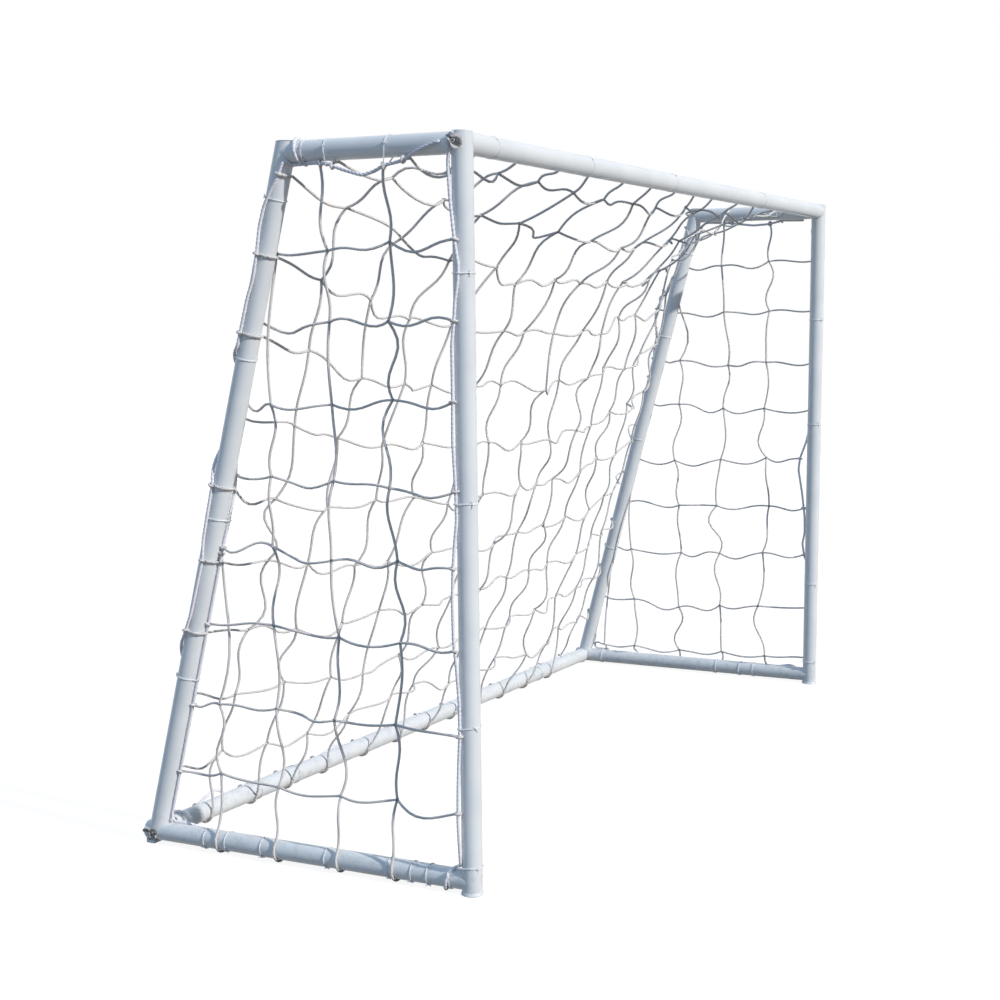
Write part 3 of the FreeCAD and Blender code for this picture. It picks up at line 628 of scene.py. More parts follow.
class Finish(Enum):
    """Every finish on the goal."""

    FRAME = PowderCoat()
    FOOT = Moulded("foot_plastic", (0.66, 0.68, 0.71), (0.46, 0.45, 0.43), 0.52)
    CAP_WHITE = Moulded("cap_white", (0.74, 0.76, 0.80), (0.55, 0.55, 0.55), 0.46)
    CAP_GREY = Moulded("cap_grey", (0.24, 0.26, 0.30), (0.34, 0.34, 0.35), 0.5)
    ZINC = Zinc("zinc", (0.46, 0.48, 0.50), (0.28, 0.29, 0.31), 0.34)
    STUD = Zinc("zinc_stud", (0.56, 0.57, 0.59), (0.36, 0.37, 0.39), 0.34, pitch=0.001)
    # The nut's near-black colours are painted shade and dark reflection, far darker than the washers' zinc.
    NUT = Zinc("zinc_nut", (0.14, 0.16, 0.17), (0.06, 0.07, 0.08), 0.32)
    # The second colour of the twine and of the rope is painted shade in the furrows between their yarns.
    NET = Twisted("net_twine", (0.69, 0.655, 0.635), (0.56, 0.53, 0.515), 0.0036, 2.0, soak=1.0)
    ROPE = Twisted("border_rope", (0.88, 0.87, 0.92), (0.74, 0.72, 0.79), 0.0040, 9.0)
    TIE = Nylon()

    @property
    def material(self) -> bpy.types.Material:
        """The finish's material, made the first time that it is asked for."""
        return bpy.data.materials.get(self.value.name) or self.value.build()


# ------------------------------------------------------------------ the frame's lines


class Run(Enum):
    """The four tubes of a side frame, in the order in which the border rope meets them."""

    POST = 0
    TOP = 1
    REAR = 2
    BOTTOM = 3


@dataclass(frozen=True)
class Lines:
    """Centre lines of the tubes, in metres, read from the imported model."""

    tube: float
    post_x: float
    front_y: float
    rear_y: float
    top_y: float
    top_z: float
    low_z: float

    @staticmethod
    def read(roof_depth: float = 0.324) -> "Lines":
        """Takes the lines from the boxes of the posts and cross tubes.

        Args:
            roof_depth: Front post's axis to rear post's axis at the crossbar.

        Returns:
            The lines.
        """
        bar_low, bar_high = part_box("crossbar")
        ground_low, ground_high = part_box("ground_bar")
        post_low, post_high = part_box("front_post_right")
        front = (post_low.y + post_high.y) / 2
        return Lines(
            tube=(bar_high.z - bar_low.z) / 2,
            post_x=(post_low.x + post_high.x) / 2,
            front_y=front,
            rear_y=(ground_low.y + ground_high.y) / 2,
            top_y=front + roof_depth,
            top_z=(bar_low.z + bar_high.z) / 2,
            low_z=(ground_low.z + ground_high.z) / 2,
        )

    @property
    def slope(self) -> float:
        """How far the rear posts lean back for each metre down."""
        return (self.rear_y - self.top_y) / (self.top_z - self.low_z)

    def ends(self, run: Run) -> tuple:
        """The (y, z) ends of a tube's centre line.

        Args:
            run: Which tube.

        Returns:
            Start and end: of a post from the ground up, and of a bar from the front back.
        """
        foot, head = (self.front_y, self.low_z), (self.front_y, self.top_z)
        heel, peak = (self.rear_y, self.low_z), (self.top_y, self.top_z)
        pairs = {
            Run.POST: (foot, head), Run.TOP: (head, peak),
            Run.REAR: (heel, peak), Run.BOTTOM: (foot, heel),
        }
        return tuple(np.array(corner) for corner in pairs[run])

    def along(self, run: Run) -> Array:
        """Unit (x, y, z) vector along a tube of a side frame."""
        start, end = self.ends(run)
        return np.concatenate([[0.0], unit(end - start)])

    def length(self, run: Run) -> float:
        """Length of a tube's centre line."""
        return float(np.linalg.norm(np.subtract(*self.ends(run))))

    def axis(self, run: Run, share: Array) -> Array:
        """The (y, z) points of a tube's centre line at shares of it."""
        start, end = self.ends(run)
        return start + np.multiply.outer(share, end - start)

    def share(self, run: Run, value: float) -> float:
        """Share along a tube at a place on it.

        Args:
            run: Which tube.
            value: The place: a height on a post, and a distance back on a bar.

        Returns:
            The share.
        """
        start, end = self.ends(run)
        k = 1 if run in (Run.POST, Run.REAR) else 0
        return float((value - start[k]) / (end[k] - start[k]))

    def on_tube(self, run: Run, side: float, share: Array, angle: Array, reach: Array) -> tuple:
        """Points beside a tube of a side frame.

        A point is the tube's axis at its share, plus reach times (cos angle into the side panel
        and sin angle out of it sideways).

        Args:
            run: Which tube.
            side: -1 for the left frame and 1 for the right.
            share: Shares along the tube.
            angle: Angles round the tube, in radians, 0 into the panel and positive outboard.
            reach: Distances from the tube's axis.

        Returns:
            The points and the unit vectors that point to them from the axis.
        """
        _, y, z = self.along(run)
        inward = (-z, y) if run in (Run.REAR, Run.BOTTOM) else (z, -y)
        share, angle, reach = vectors(share, angle, reach)
        away = np.stack([side * np.sin(angle), np.cos(angle) * inward[0], np.cos(angle) * inward[1]], 1)
        base = np.column_stack([np.full(len(share), side * self.post_x), self.axis(run, share)])
        return base + reach[:, None] * away, away


# ------------------------------------------------------------------ the ropes


@dataclass(frozen=True)
class BorderSize:
    """A border rope's radius, its gap from a tube, and how much flatter it lies under a low bar."""

    radius: float = 0.003
    gap: float = 0.0003
    press: float = 0.0006


BORDER = BorderSize()


@dataclass(frozen=True)
class Hold:
    """A place that a rope passes on a tube: share along it, angle in degrees, slack in mm."""

    share: float
    angle: float = 0.0
    slack: float = 0.0


def smoothed(values: Array, reach: int = 5) -> Array:
    """The values averaged with a bell over some neighbours on each side."""
    bell = np.hanning(2 * reach + 1)
    return np.convolve(np.pad(values, reach, mode="edge"), bell / bell.sum(), mode="valid")


def eased(holds: Sequence[Hold], shares: Array, tube: float) -> tuple:
    """A rope's angle and reach at shares along a tube, changing smoothly from hold to hold.

    Args:
        holds: The holds along the tube.
        shares: Shares along it.
        tube: The tube's radius.

    Returns:
        Angles in radians, and distances of the rope's middle from the tube's axis.
    """
    own = [h.share for h in holds]
    angle = smoothed(np.interp(shares, own, [math.radians(h.angle) for h in holds]))
    slack = smoothed(np.interp(shares, own, [h.slack for h in holds])) / 1000.0
    return angle, tube + BORDER.gap + BORDER.radius + slack


def way_round(
    come: float,
    angle: float,
    turn: int,
    near: float = 80.0,
    onto: float = 66.0,
    short: float = 9.0,
    least: float = 8.0,
    step: float = 14.0,
) -> Array:
    """Angles at which a strand lies on a tube on its way round it to a rope.

    All angles are in degrees, apart from the rope's and the results.

    Args:
        come: Angle that the strand comes from.
        angle: The rope's angle, in radians.
        turn: 1 or -1, the way that it goes round.
        near: Within this angle the strand runs straight to the rope.
        onto: How far on from where it comes from it meets the tube.
        short: How far short of the rope it leaves the tube.
        least: A shorter way round than this is left out.
        step: Angle between neighbouring points.

    Returns:
        Angles in radians, none where the strand runs straight to the rope.
    """
    goal = math.degrees(angle)
    if abs((goal - come + 180.0) % 360.0 - 180.0) < near:
        return np.zeros(0)
    first, last = come + onto * turn, come + turn * ((goal - come) * turn % 360.0) - short * turn
    if (last - first) * turn < least:
        return np.zeros(0)
    return np.radians(np.linspace(first, last, int(abs(last - first) / step) + 2))


@dataclass
class Laced:
    """A border rope laced beside tubes, on which the strands of the net end.

    Its middle is a tube's axis plus its reach in the direction of an angle. A kind of rope says
    where the tubes are with beside, way and profile, each for one of its tubes.
    """

    lines: Lines

    def at(self, run: Optional[Run], place: float) -> tuple:
        """Angle in radians and reach of the rope at a place along a tube."""
        places, angle, reach = self.profile(run)
        return float(np.interp(place, places, angle)), float(np.interp(place, places, reach))

    def strand_end(self, run: Optional[Run], place: float, come: float, turn: int) -> tuple:
        """The end of a net strand: straight to the rope, or first round the tube.

        Args:
            run: Which tube.
            place: Place along it.
            come: Angle that the strand comes from, in degrees.
            turn: 1 or -1, the way that it goes round where the rope is behind the tube.

        Returns:
            Points from the tube's near side to the rope's middle, and the rope's direction.
        """
        angle, reach = self.at(run, place)
        band = way_round(come, angle, turn)
        far = np.append(np.full(len(band), self.lines.tube + TWINE + CLEAR), reach)
        return self.beside(run, place, np.append(band, angle), far)[0], self.way(run)


@dataclass
class RopeRoute(Laced):
    """The way of a border rope round the tubes of one side frame, whose places are shares.

    The holds are given for each tube as plain numbers, in the order of a Hold.
    """

    side: float
    holds: dict
    order: tuple = (Run.TOP, Run.REAR, Run.BOTTOM, Run.POST)
    crown: bool = False

    def way(self, run: Run) -> Array:
        """Unit vector along a tube."""
        return self.lines.along(run)

    def beside(self, run: Run, share: Array, angle: Array, reach: Array) -> tuple:
        """Points beside a tube and the unit vectors that point to them from its axis."""
        return self.lines.on_tube(run, self.side, share, angle, reach)

    def profile(self, run: Run, step: float = 0.002) -> tuple:
        """Shares along one tube with the rope's angle and reach at each.

        Under a bar near the floor the rope is pressed flatter, so its middle lies nearer.

        Args:
            run: Which tube.
            step: Distance between neighbouring shares, in metres.

        Returns:
            Shares, angles in radians and reaches.
        """
        holds = [Hold(*numbers) for numbers in self.holds[run]]
        first, last = holds[0].share, holds[-1].share
        share = np.linspace(first, last, int((last - first) * self.lines.length(run) / step) + 2)
        angle, reach = eased(holds, share, self.lines.tube)
        if run is Run.BOTTOM:
            reach = reach - BORDER.press * np.maximum(-np.cos(angle), 0.0)
        return share, angle, reach

    def path(self) -> tuple:
        """The whole path: back along the top, down the rear, and round by the ground to the head.

        Each corner is a cubic curve that leaves one stretch and meets the next along their own
        directions. A crown is a last loop over the stud at the post's head.

        Returns:
            Points along the path and unit vectors away from the tubes.
        """
        stretches = []
        for run in self.order:
            points, aways = self.beside(run, *self.profile(run))
            way = -1 if run in (Run.REAR, Run.BOTTOM) else 1
            stretches.append((points[::way], aways[::way]))
        if self.crown:
            stretches.append(self._loop())
        path = [stretches[0]]
        for stretch in stretches[1:]:
            path += [corner_curve(path[-1], stretch), stretch]
        return np.concatenate([p for p, _ in path]), unit(np.concatenate([a for _, a in path]))

    def _loop(self, radius: float = 0.0150, arc: tuple = (-16.0, 72.0), count: int = 30) -> tuple:
        """The loop over the stud.

        In the side plane it is cos and sin of a turn. Its distance out is the square root of
        reach squared less the smaller of y squared and z squared, which clears the post and the
        top bar alike.

        Args:
            radius: The loop's own radius.
            arc: The turn's first and last angle, in degrees.
            count: Points along the loop.

        Returns:
            Points along the loop and unit vectors away from the tubes.
        """
        lines = self.lines
        turn = np.radians(np.linspace(*arc, count))
        reach = lines.tube + BORDER.gap + BORDER.radius
        y, z = radius * np.cos(turn), radius * np.sin(turn)
        near = np.where(y > 0, np.minimum(y * y, z * z), y * y)
        out = smoothed(np.sqrt(reach**2 - near), 3)
        points = np.stack([self.side * (lines.post_x + out), lines.front_y + y, lines.top_z + z], 1)
        return points, unit(np.stack([self.side * out, y, 0 * y], 1))


def corner_curve(before: tuple, after: tuple, steps: int = 14, stiff: float = 1.25) -> tuple:
    """A cubic Hermite curve from the end of one stretch of rope to the start of the next.

    Args:
        before: The points and away vectors of the stretch that ends here.
        after: The same of the stretch that starts next.
        steps: Points on the curve.
        stiff: Pull along each stretch's own direction, as a share of the gap.

    Returns:
        Points strictly between the two stretches, and their away vectors.
    """
    a, b = before[0][-1], after[0][0]
    pull = np.linalg.norm(b - a) * stiff
    ta, tb = unit(a - before[0][-2]) * pull, unit(after[0][1] - b) * pull
    t = (np.arange(steps) + 1.0)[:, None] / (steps + 1)
    curve = (
        (2 * t**3 - 3 * t**2 + 1) * a + (t**3 - 2 * t**2 + t) * ta
        + (-2 * t**3 + 3 * t**2) * b + (t**3 - t**2) * tb
    )
    return curve, unit((1 - t) * before[1][-1] + t * after[1][0])


@dataclass
class BarRope(Laced):
    """A border rope laced along the crossbar or the ground bar, whose places are x.

    Angle 0 is the across vector and 90 degrees the height vector. The holds are given as plain
    numbers, in the order of a Hold.
    """

    across: tuple
    height: tuple
    holds: tuple
    y: float
    z: float

    def way(self, run: None = None) -> Array:
        """Unit vector along the bar."""
        return X_AXIS

    def beside(self, run: None, x: Array, angle: Array, reach: Array) -> tuple:
        """Points beside the bar.

        Args:
            run: Not used, because there is one bar.
            x: Places along the bar.
            angle: Angles round it, in radians.
            reach: Distances from its axis.

        Returns:
            The points and the unit vectors that point to them from the axis.
        """
        x, angle, reach = vectors(x, angle, reach)
        away = np.cos(angle)[:, None] * np.array(self.across) + np.sin(angle)[:, None] * np.array(self.height)
        base = np.stack([x, np.full(len(x), self.y), np.full(len(x), self.z)], 1)
        return base + reach[:, None] * away, away

    def profile(self, run: None = None, step: float = 0.001) -> tuple:
        """The rope all along the bar, pressed flatter where it lies under it.

        Args:
            run: Not used, because there is one bar.
            step: Distance between neighbouring places, as a share of the bar.

        Returns:
            Places along the bar, angles in radians and reaches.
        """
        holds = [Hold(*numbers) for numbers in self.holds]
        span = np.arange(holds[0].share, holds[-1].share, step)
        angle, reach = eased(holds, span, self.lines.tube)
        drop = np.cos(angle) * self.across[2] + np.sin(angle) * self.height[2]
        return (2 * span - 1) * self.lines.post_x, angle, reach - BORDER.press * np.maximum(-drop, 0.0)

    def path(self) -> tuple:
        """Points along the rope and unit vectors away from the bar."""
        return self.beside(None, *self.profile())


@dataclass
class LaidRope:
    """Twisted three-strand rope along a path, with ends that taper over a short length."""

    name: str
    nodes: tuple
    lay: float = 0.022
    steps: int = 9
    taper: float = 0.004
    tip: float = 0.35
    floor_gap: float = 0.0001
    flattest: float = 0.6

    def build(self, path: Array, away: Array) -> None:
        """Carries the lobed outline along the path, turned once in each lay length.

        Where the rope lies on the floor it is made thin enough to clear it.

        Args:
            path: Points along the rope's middle.
            away: Unit vectors that fix the section's direction.
        """
        own = arc_lengths(path)
        total = own[-1]
        far = np.linspace(0, total, int(total / self.lay * self.steps))
        line = at_lengths(path, far)
        lean = np.stack([np.interp(far, own, away[:, k]) for k in range(3)], 1)
        grow = np.clip(np.minimum(far, total - far) / self.taper + self.tip, self.tip, 1.0)
        room = (line[:, 2] - self.floor_gap) / BORDER.radius
        grow = np.minimum(grow, np.clip(room, self.flattest, 1.0))
        turn = far * 2 * math.pi / self.lay
        piece(self.name, swept(line, lean, lobed(BORDER.radius), turn, grow), Finish.ROPE, self.nodes)


# ------------------------------------------------------------------ the net


@dataclass
class Net:
    """Net twine: strands that sag between knots, the knots, and loops round the border ropes.

    Strands are added one by one, and the knots and loops are tied when the net is done.
    """

    seed: int
    sides: int = 6
    cell_steps: int = 9
    cell: float = 0.12
    most: float = 1.2
    ripple: float = 0.8
    knot_ring: float = 0.0022
    knot_bar: float = 0.0015
    knot_lean: float = 0.4
    loop_tilt: float = 0.22
    loop_slack: float = 0.75
    strands: list = field(default_factory=list)
    ends: list = field(default_factory=list)
    ways: list = field(default_factory=list)

    def __post_init__(self) -> None:
        """Starts the seeded numbers."""
        self.rng = np.random.default_rng(self.seed)

    def strand(self, first: tuple, knots: Array, last: tuple, across: Array, sag: float, sway: float) -> None:
        """Adds a strand from one rope through its knots to another.

        Between two knots the middle is the straight line plus sag times sin(pi s) downwards,
        plus two seeded sways, of sin(pi s) and of sin(2 pi s), along and square to across.

        Args:
            first: The strand's first end, as a rope's strand_end gives it.
            knots: The knots that it passes, n x 3.
            last: Its last end, likewise.
            across: Vector square to the strand, in the net's own surface or out of it.
            sag: How far a cell's side hangs at its middle.
            sway: How far it wanders.
        """
        line = np.vstack([first[0][::-1], knots, last[0]])
        a, b = line[:-1, None, :], line[1:, None, :]
        s = np.linspace(0, 1, self.cell_steps, endpoint=False)[None, :, None]
        forward = unit(b - a)
        one = unit(np.cross(np.broadcast_to(across, forward.shape), forward))
        two = np.cross(forward, one)
        low = self.rng.normal(0, sway, (len(line) - 1, 1, 4))
        bow, wave = np.sin(math.pi * s), np.sin(2 * math.pi * s)
        size = np.minimum(np.linalg.norm(b - a, axis=-1, keepdims=True) / self.cell, self.most)
        shift = (low[..., :1] * bow + low[..., 1:2] * wave * self.ripple) * one
        shift = shift + (low[..., 2:3] * bow + low[..., 3:] * wave * self.ripple) * two
        level = np.linalg.norm(forward[..., :2], axis=-1, keepdims=True)
        down = np.array([0.0, 0.0, -1.0]) * sag * bow * level
        path = (a + (b - a) * s + (shift + down) * size).reshape(-1, 3)
        self.strands.append(swept(np.vstack([path, line[-1:]]), across, circle(TWINE, self.sides)))
        for points, way in (first, last):
            self.ends.append(points[-1:])
            self.ways.append(way)

    def _rings(self, one: Shell, lean: Array, places: Array) -> Shell:
        """A ring at each place, about its own lean and turned at random."""
        other = unit(np.cross(lean, self.rng.normal(0, 1, places.shape)))
        return one.moved(np.stack([lean, other, np.cross(lean, other)], -1), places)

    def done(self, name: str, nodes: tuple, places: Array, facing: Array) -> None:
        """Ties a small tight ring at each crossing and a loop round a rope at each end.

        Args:
            name: The piece's name.
            nodes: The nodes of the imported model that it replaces.
            places: Where the crossings are.
            facing: Unit vector square to the net.
        """
        lean = unit(self.rng.normal(0, 1, places.shape) + facing * self.knot_lean)
        knots = self._rings(ring_shell(self.knot_ring, self.knot_bar, 10, 4), lean, places)
        ends, ways = np.vstack(self.ends), np.vstack(self.ways)
        lean = unit(ways + self.rng.normal(0, self.loop_tilt, ways.shape))
        loop = ring_shell(BORDER.radius + TWINE * self.loop_slack, TWINE, 14, 5)
        loops = self._rings(loop, lean, ends)
        piece(name, joined([*self.strands, knots, loops]), Finish.NET, nodes)


@dataclass
class SidePanel:
    """The net panel in one side frame, with columns at y and rows at z as they hang."""

    name: str
    node: str
    side: float
    columns: tuple
    rows: tuple
    seed: int
    rear_turn: int = 1
    depth: float = 0.006
    wander: float = 0.006
    bulge: float = 0.004
    margin: float = 0.045
    corner: float = 0.02
    column_sag: float = 0.002
    row_sag: float = 0.006
    sway: float = 0.0055

    def build(self, lines: Lines, route: RopeRoute) -> None:
        """Strands through knots on a wavy grid, tied to the border rope at their ends.

        Knot (i, j) is (x + depth, column i + drift, row j + drift), with seeded drifts. A strand
        runs through the knots of its row or column that lie inside the border rope.

        Args:
            lines: The frame's lines.
            route: The border rope's way.
        """
        net = Net(self.seed)
        rng = np.random.default_rng(self.seed + 1)
        grid_y, grid_z = np.meshgrid(self.columns, self.rows, indexing="ij")
        grid = np.stack([np.full(grid_y.shape, self.side * lines.post_x), grid_y, grid_z], -1)
        grid += rng.normal(0, 1, grid.shape) * np.array([self.depth, self.wander, self.wander])
        grid[..., 0] -= self.side * self.bulge
        inside = grid[..., 1] < lines.rear_y - lines.slope * (grid[..., 2] - lines.low_z) - self.margin

        def end(run: Run, value: float) -> tuple:
            """A strand's end at a tube, at a height or a distance back."""
            turn = self.rear_turn if run is Run.REAR else 1
            return route.strand_end(run, lines.share(run, value), 0.0, turn)

        for column, held in zip(grid, inside):
            if held.any():
                knots = column[held]
                back = knots[-1, 1]
                at_rear = lines.top_z - (back - lines.top_y) / lines.slope
                top = end(Run.TOP, back) if back < lines.top_y - self.corner else end(Run.REAR, at_rear)
                net.strand(end(Run.BOTTOM, knots[0, 1]), knots, top, X_AXIS, self.column_sag, self.sway)
        for row, held in zip(grid.swapaxes(0, 1), inside.T):
            if held.any():
                knots = row[held]
                front, rear = end(Run.POST, knots[0, 2]), end(Run.REAR, knots[-1, 2])
                net.strand(front, knots, rear, X_AXIS, self.row_sag, self.sway)
        net.done(self.name, (self.node,), grid[inside], X_AXIS)


@dataclass
class BackSheet:
    """The slack sheet of net that is the goal's roof and back in one."""

    name: str
    nodes: tuple
    columns: tuple
    rows: tuple
    middle: tuple
    seed: int = 23
    bow: float = 2.5
    wander: float = 0.008
    calm: float = 0.35
    drift: float = 0.004
    ahead: float = 0.035
    spare: float = 0.02
    corner: float = 0.012
    lowest: float = 0.975
    column_sag: float = 0.002
    column_sway: float = 0.006
    row_sag: float = 0.007
    row_sway: float = 0.0065

    def build(self, lines: Lines, sides: tuple, top: BarRope, low: BarRope) -> None:
        """Strands through knots on a sagging surface.

        The surface at (across, down) is (1 - w) times the side frame's line at that share of its
        length plus w times the mid-width line at the same row, where w is 1 - |across|^bow.

        Args:
            lines: The frame's lines.
            sides: For the left and the right frame, the ropes that it is tied to along the top
                bar and along the rear post.
            top: The crossbar's rope.
            low: The ground bar's rope.
        """
        net = Net(self.seed)
        rng = np.random.default_rng(self.seed + 1)
        middle, down, x = np.array(self.middle), np.array(self.rows), np.array(self.columns)
        far = arc_lengths(middle)
        stations = [self._station(lines, d / far[-1]) for d in down]
        edge = np.array([lines.axis(*station) for station in stations])
        weight = (1 - np.abs(x / lines.post_x) ** self.bow)[:, None, None]
        grid = np.empty((len(x), len(down), 3))
        grid[..., 0] = x[:, None]
        grid[..., 1:] = (1 - weight) * edge[None] + weight * at_lengths(middle, down)[None]
        grid += rng.normal(0, 1, grid.shape) * self.wander * (self.calm + (1 - self.calm) * weight)
        for place, knots in zip(x, grid):
            first = top.strand_end(None, place, -60.0, -1)
            last = low.strand_end(None, place + rng.normal(0, self.drift), -12.0, -1)
            net.strand(first, knots, last, X_AXIS, self.column_sag, self.column_sway)
        lean = unit(np.array([0.0, 0.55, 0.84]))
        for j, (run, share) in enumerate(stations):
            left, right = (
                (upper if run is Run.TOP else rear).strand_end(run, share, -90.0, turn)
                for (upper, rear), turn in zip(sides, (1, -1))
            )
            net.strand(left, grid[:, j], right, lean, self.row_sag, self.row_sway)
        net.done(self.name, self.nodes, grid.reshape(-1, 3), lean)

    def _station(self, lines: Lines, share: float) -> tuple:
        """The place on the side frame where a row of the sheet ends.

        Args:
            lines: The frame's lines.
            share: Share of the way back and down from the sheet's front edge.

        Returns:
            The tube, and the share along it.
        """
        top, rear = lines.length(Run.TOP), lines.length(Run.REAR)
        far = self.ahead + share * (top + rear - self.ahead - self.spare)
        if far < top - self.corner:
            return Run.TOP, far / top
        return Run.REAR, min(1 - (far - top) / rear, self.lowest)


# ------------------------------------------------------------------ the ties


@dataclass
class Ties:
    """Ties of thin nylon cord round a tube and its rope: two turns, a knot and its ends."""

    node: str
    tube: float
    seed: int
    radius: float = 0.00072
    clear: float = 0.0002
    slant: float = 0.07
    pitch: float = 1.05
    knot: tuple = (0.0036, 0.0034, 0.0028)
    knot_reach: float = 1.03
    tail: tuple = (0.003, 0.007)
    stray: float = 0.5
    lift: tuple = (0.05, 0.35)
    curl: float = 0.35
    shells: list = field(default_factory=list)

    def __post_init__(self) -> None:
        """Starts the seeded numbers."""
        self.rng = np.random.default_rng(self.seed)

    def add(self, centre: Array, along: Array, toward: Array, reach: float, knot_turn: float) -> None:
        """One tie in the plane square to the tube.

        A turn is the hull of two circles, the tube's and the rope's: an arc of each joined by
        their two outer tangents. Two turns lie side by side, and a sheared plane tilts them.

        Args:
            centre: The tube's axis at the tie.
            along: Unit vector along the tube.
            toward: Unit vector from the axis to the rope.
            reach: From the tube's axis to the rope's.
            knot_turn: Angle of the knot from the rope's direction, in radians.
        """
        gap = self.radius + self.clear
        big, small = self.tube + gap, BORDER.radius + gap
        wide = math.acos(max(min((big - small) / reach, 1.0), -1.0))
        arc, tip = np.linspace(wide, 2 * math.pi - wide, 30), np.linspace(-wide, wide, 11)
        flat = np.concatenate([
            big * np.stack([np.cos(arc), np.sin(arc)], 1),
            small * np.stack([np.cos(tip), np.sin(tip)], 1) + [reach, 0.0],
        ])
        spot = np.array([math.cos(knot_turn), math.sin(knot_turn)])
        flat = np.roll(flat, -int(np.argmax(unit(flat) @ spot)), axis=0)
        turns = np.vstack([flat, flat, flat[:1]])
        other = np.cross(along, toward)
        lift = np.linspace(-1.0, 1.0, len(turns)) * self.radius * self.pitch
        lift = lift + turns[:, 0] * self.rng.normal(0, self.slant)
        path = centre + turns[:, :1] * toward + turns[:, 1:2] * other + lift[:, None] * along
        self.shells.append(swept(path, along, circle(self.radius, 6)))
        radial, tangent = spot[0] * toward + spot[1] * other, -spot[1] * toward + spot[0] * other
        seat = big * spot * self.knot_reach
        seat = centre + seat[0] * toward + seat[1] * other
        turned = np.stack([tangent, along, np.cross(tangent, along)], -1)
        self.shells.append(lump(self.knot).moved(turned[None], seat[None]))
        for way in (-1.0, 1.0):
            self.shells.append(self._end(seat, tangent, way * along, radial))

    def _end(self, start: Array, tangent: Array, along: Array, radial: Array) -> Shell:
        """A loose end: length times (t, t squared) along seeded directions, kept above the floor.

        Args:
            start: Where it leaves the knot.
            tangent: Unit vector round the tube.
            along: Unit vector along the tube, the way that the end points.
            radial: Unit vector away from the tube.

        Returns:
            The end's shell.
        """
        t = np.linspace(0, 1, 8)[:, None]
        size = self.rng.uniform(*self.tail)
        aim = unit(along + tangent * self.rng.normal(0, self.stray))
        curl = radial * self.rng.uniform(*self.lift) + tangent * self.rng.normal(0, self.curl)
        line = start + size * (t * aim + t * t * curl)
        line[:, 2] = np.maximum(line[:, 2], self.radius + self.clear)
        return swept(line, np.cross(aim, radial), circle(self.radius, 6))

    def build(self) -> None:
        """All the ties of the group as one piece."""
        piece("nylon_" + self.node, joined(self.shells), Finish.TIE, (self.node,))


# ------------------------------------------------------------------ the goal


@dataclass
class FrameDress:
    """Finishes of the frame's own nodes, by the start of their names."""

    finishes: dict = field(default_factory=lambda: {
        "front_foot": Finish.FOOT, "rear_foot": Finish.FOOT, "post_cap": Finish.CAP_WHITE,
        "rear_post_cap": Finish.CAP_GREY, "stud_plugs": Finish.STUD, "washers": Finish.ZINC,
        "wing_nut": Finish.NUT, "front_post": Finish.FRAME, "bottom_bar": Finish.FRAME,
        "top_bar": Finish.FRAME, "rear_post": Finish.FRAME, "crossbar": Finish.FRAME,
        "ground_bar": Finish.FRAME,
    })

    def dress(self) -> None:
        """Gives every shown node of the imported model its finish."""
        for name, node in sorted(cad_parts.items()):
            starts = [key for key in self.finishes if name.startswith(key)]
            if not starts or node.hide_render:
                continue
            finish = self.finishes[max(starts, key=len)]
            node.data.materials.clear()
            node.data.materials.append(finish.material)
            log.info("%s: %s", name, finish.name)


@dataclass
class TieRow:
    """Ties along one kind of tube: their node, their knots' angle, and shares on each side."""

    node: str
    knot: float
    left: tuple
    right: tuple


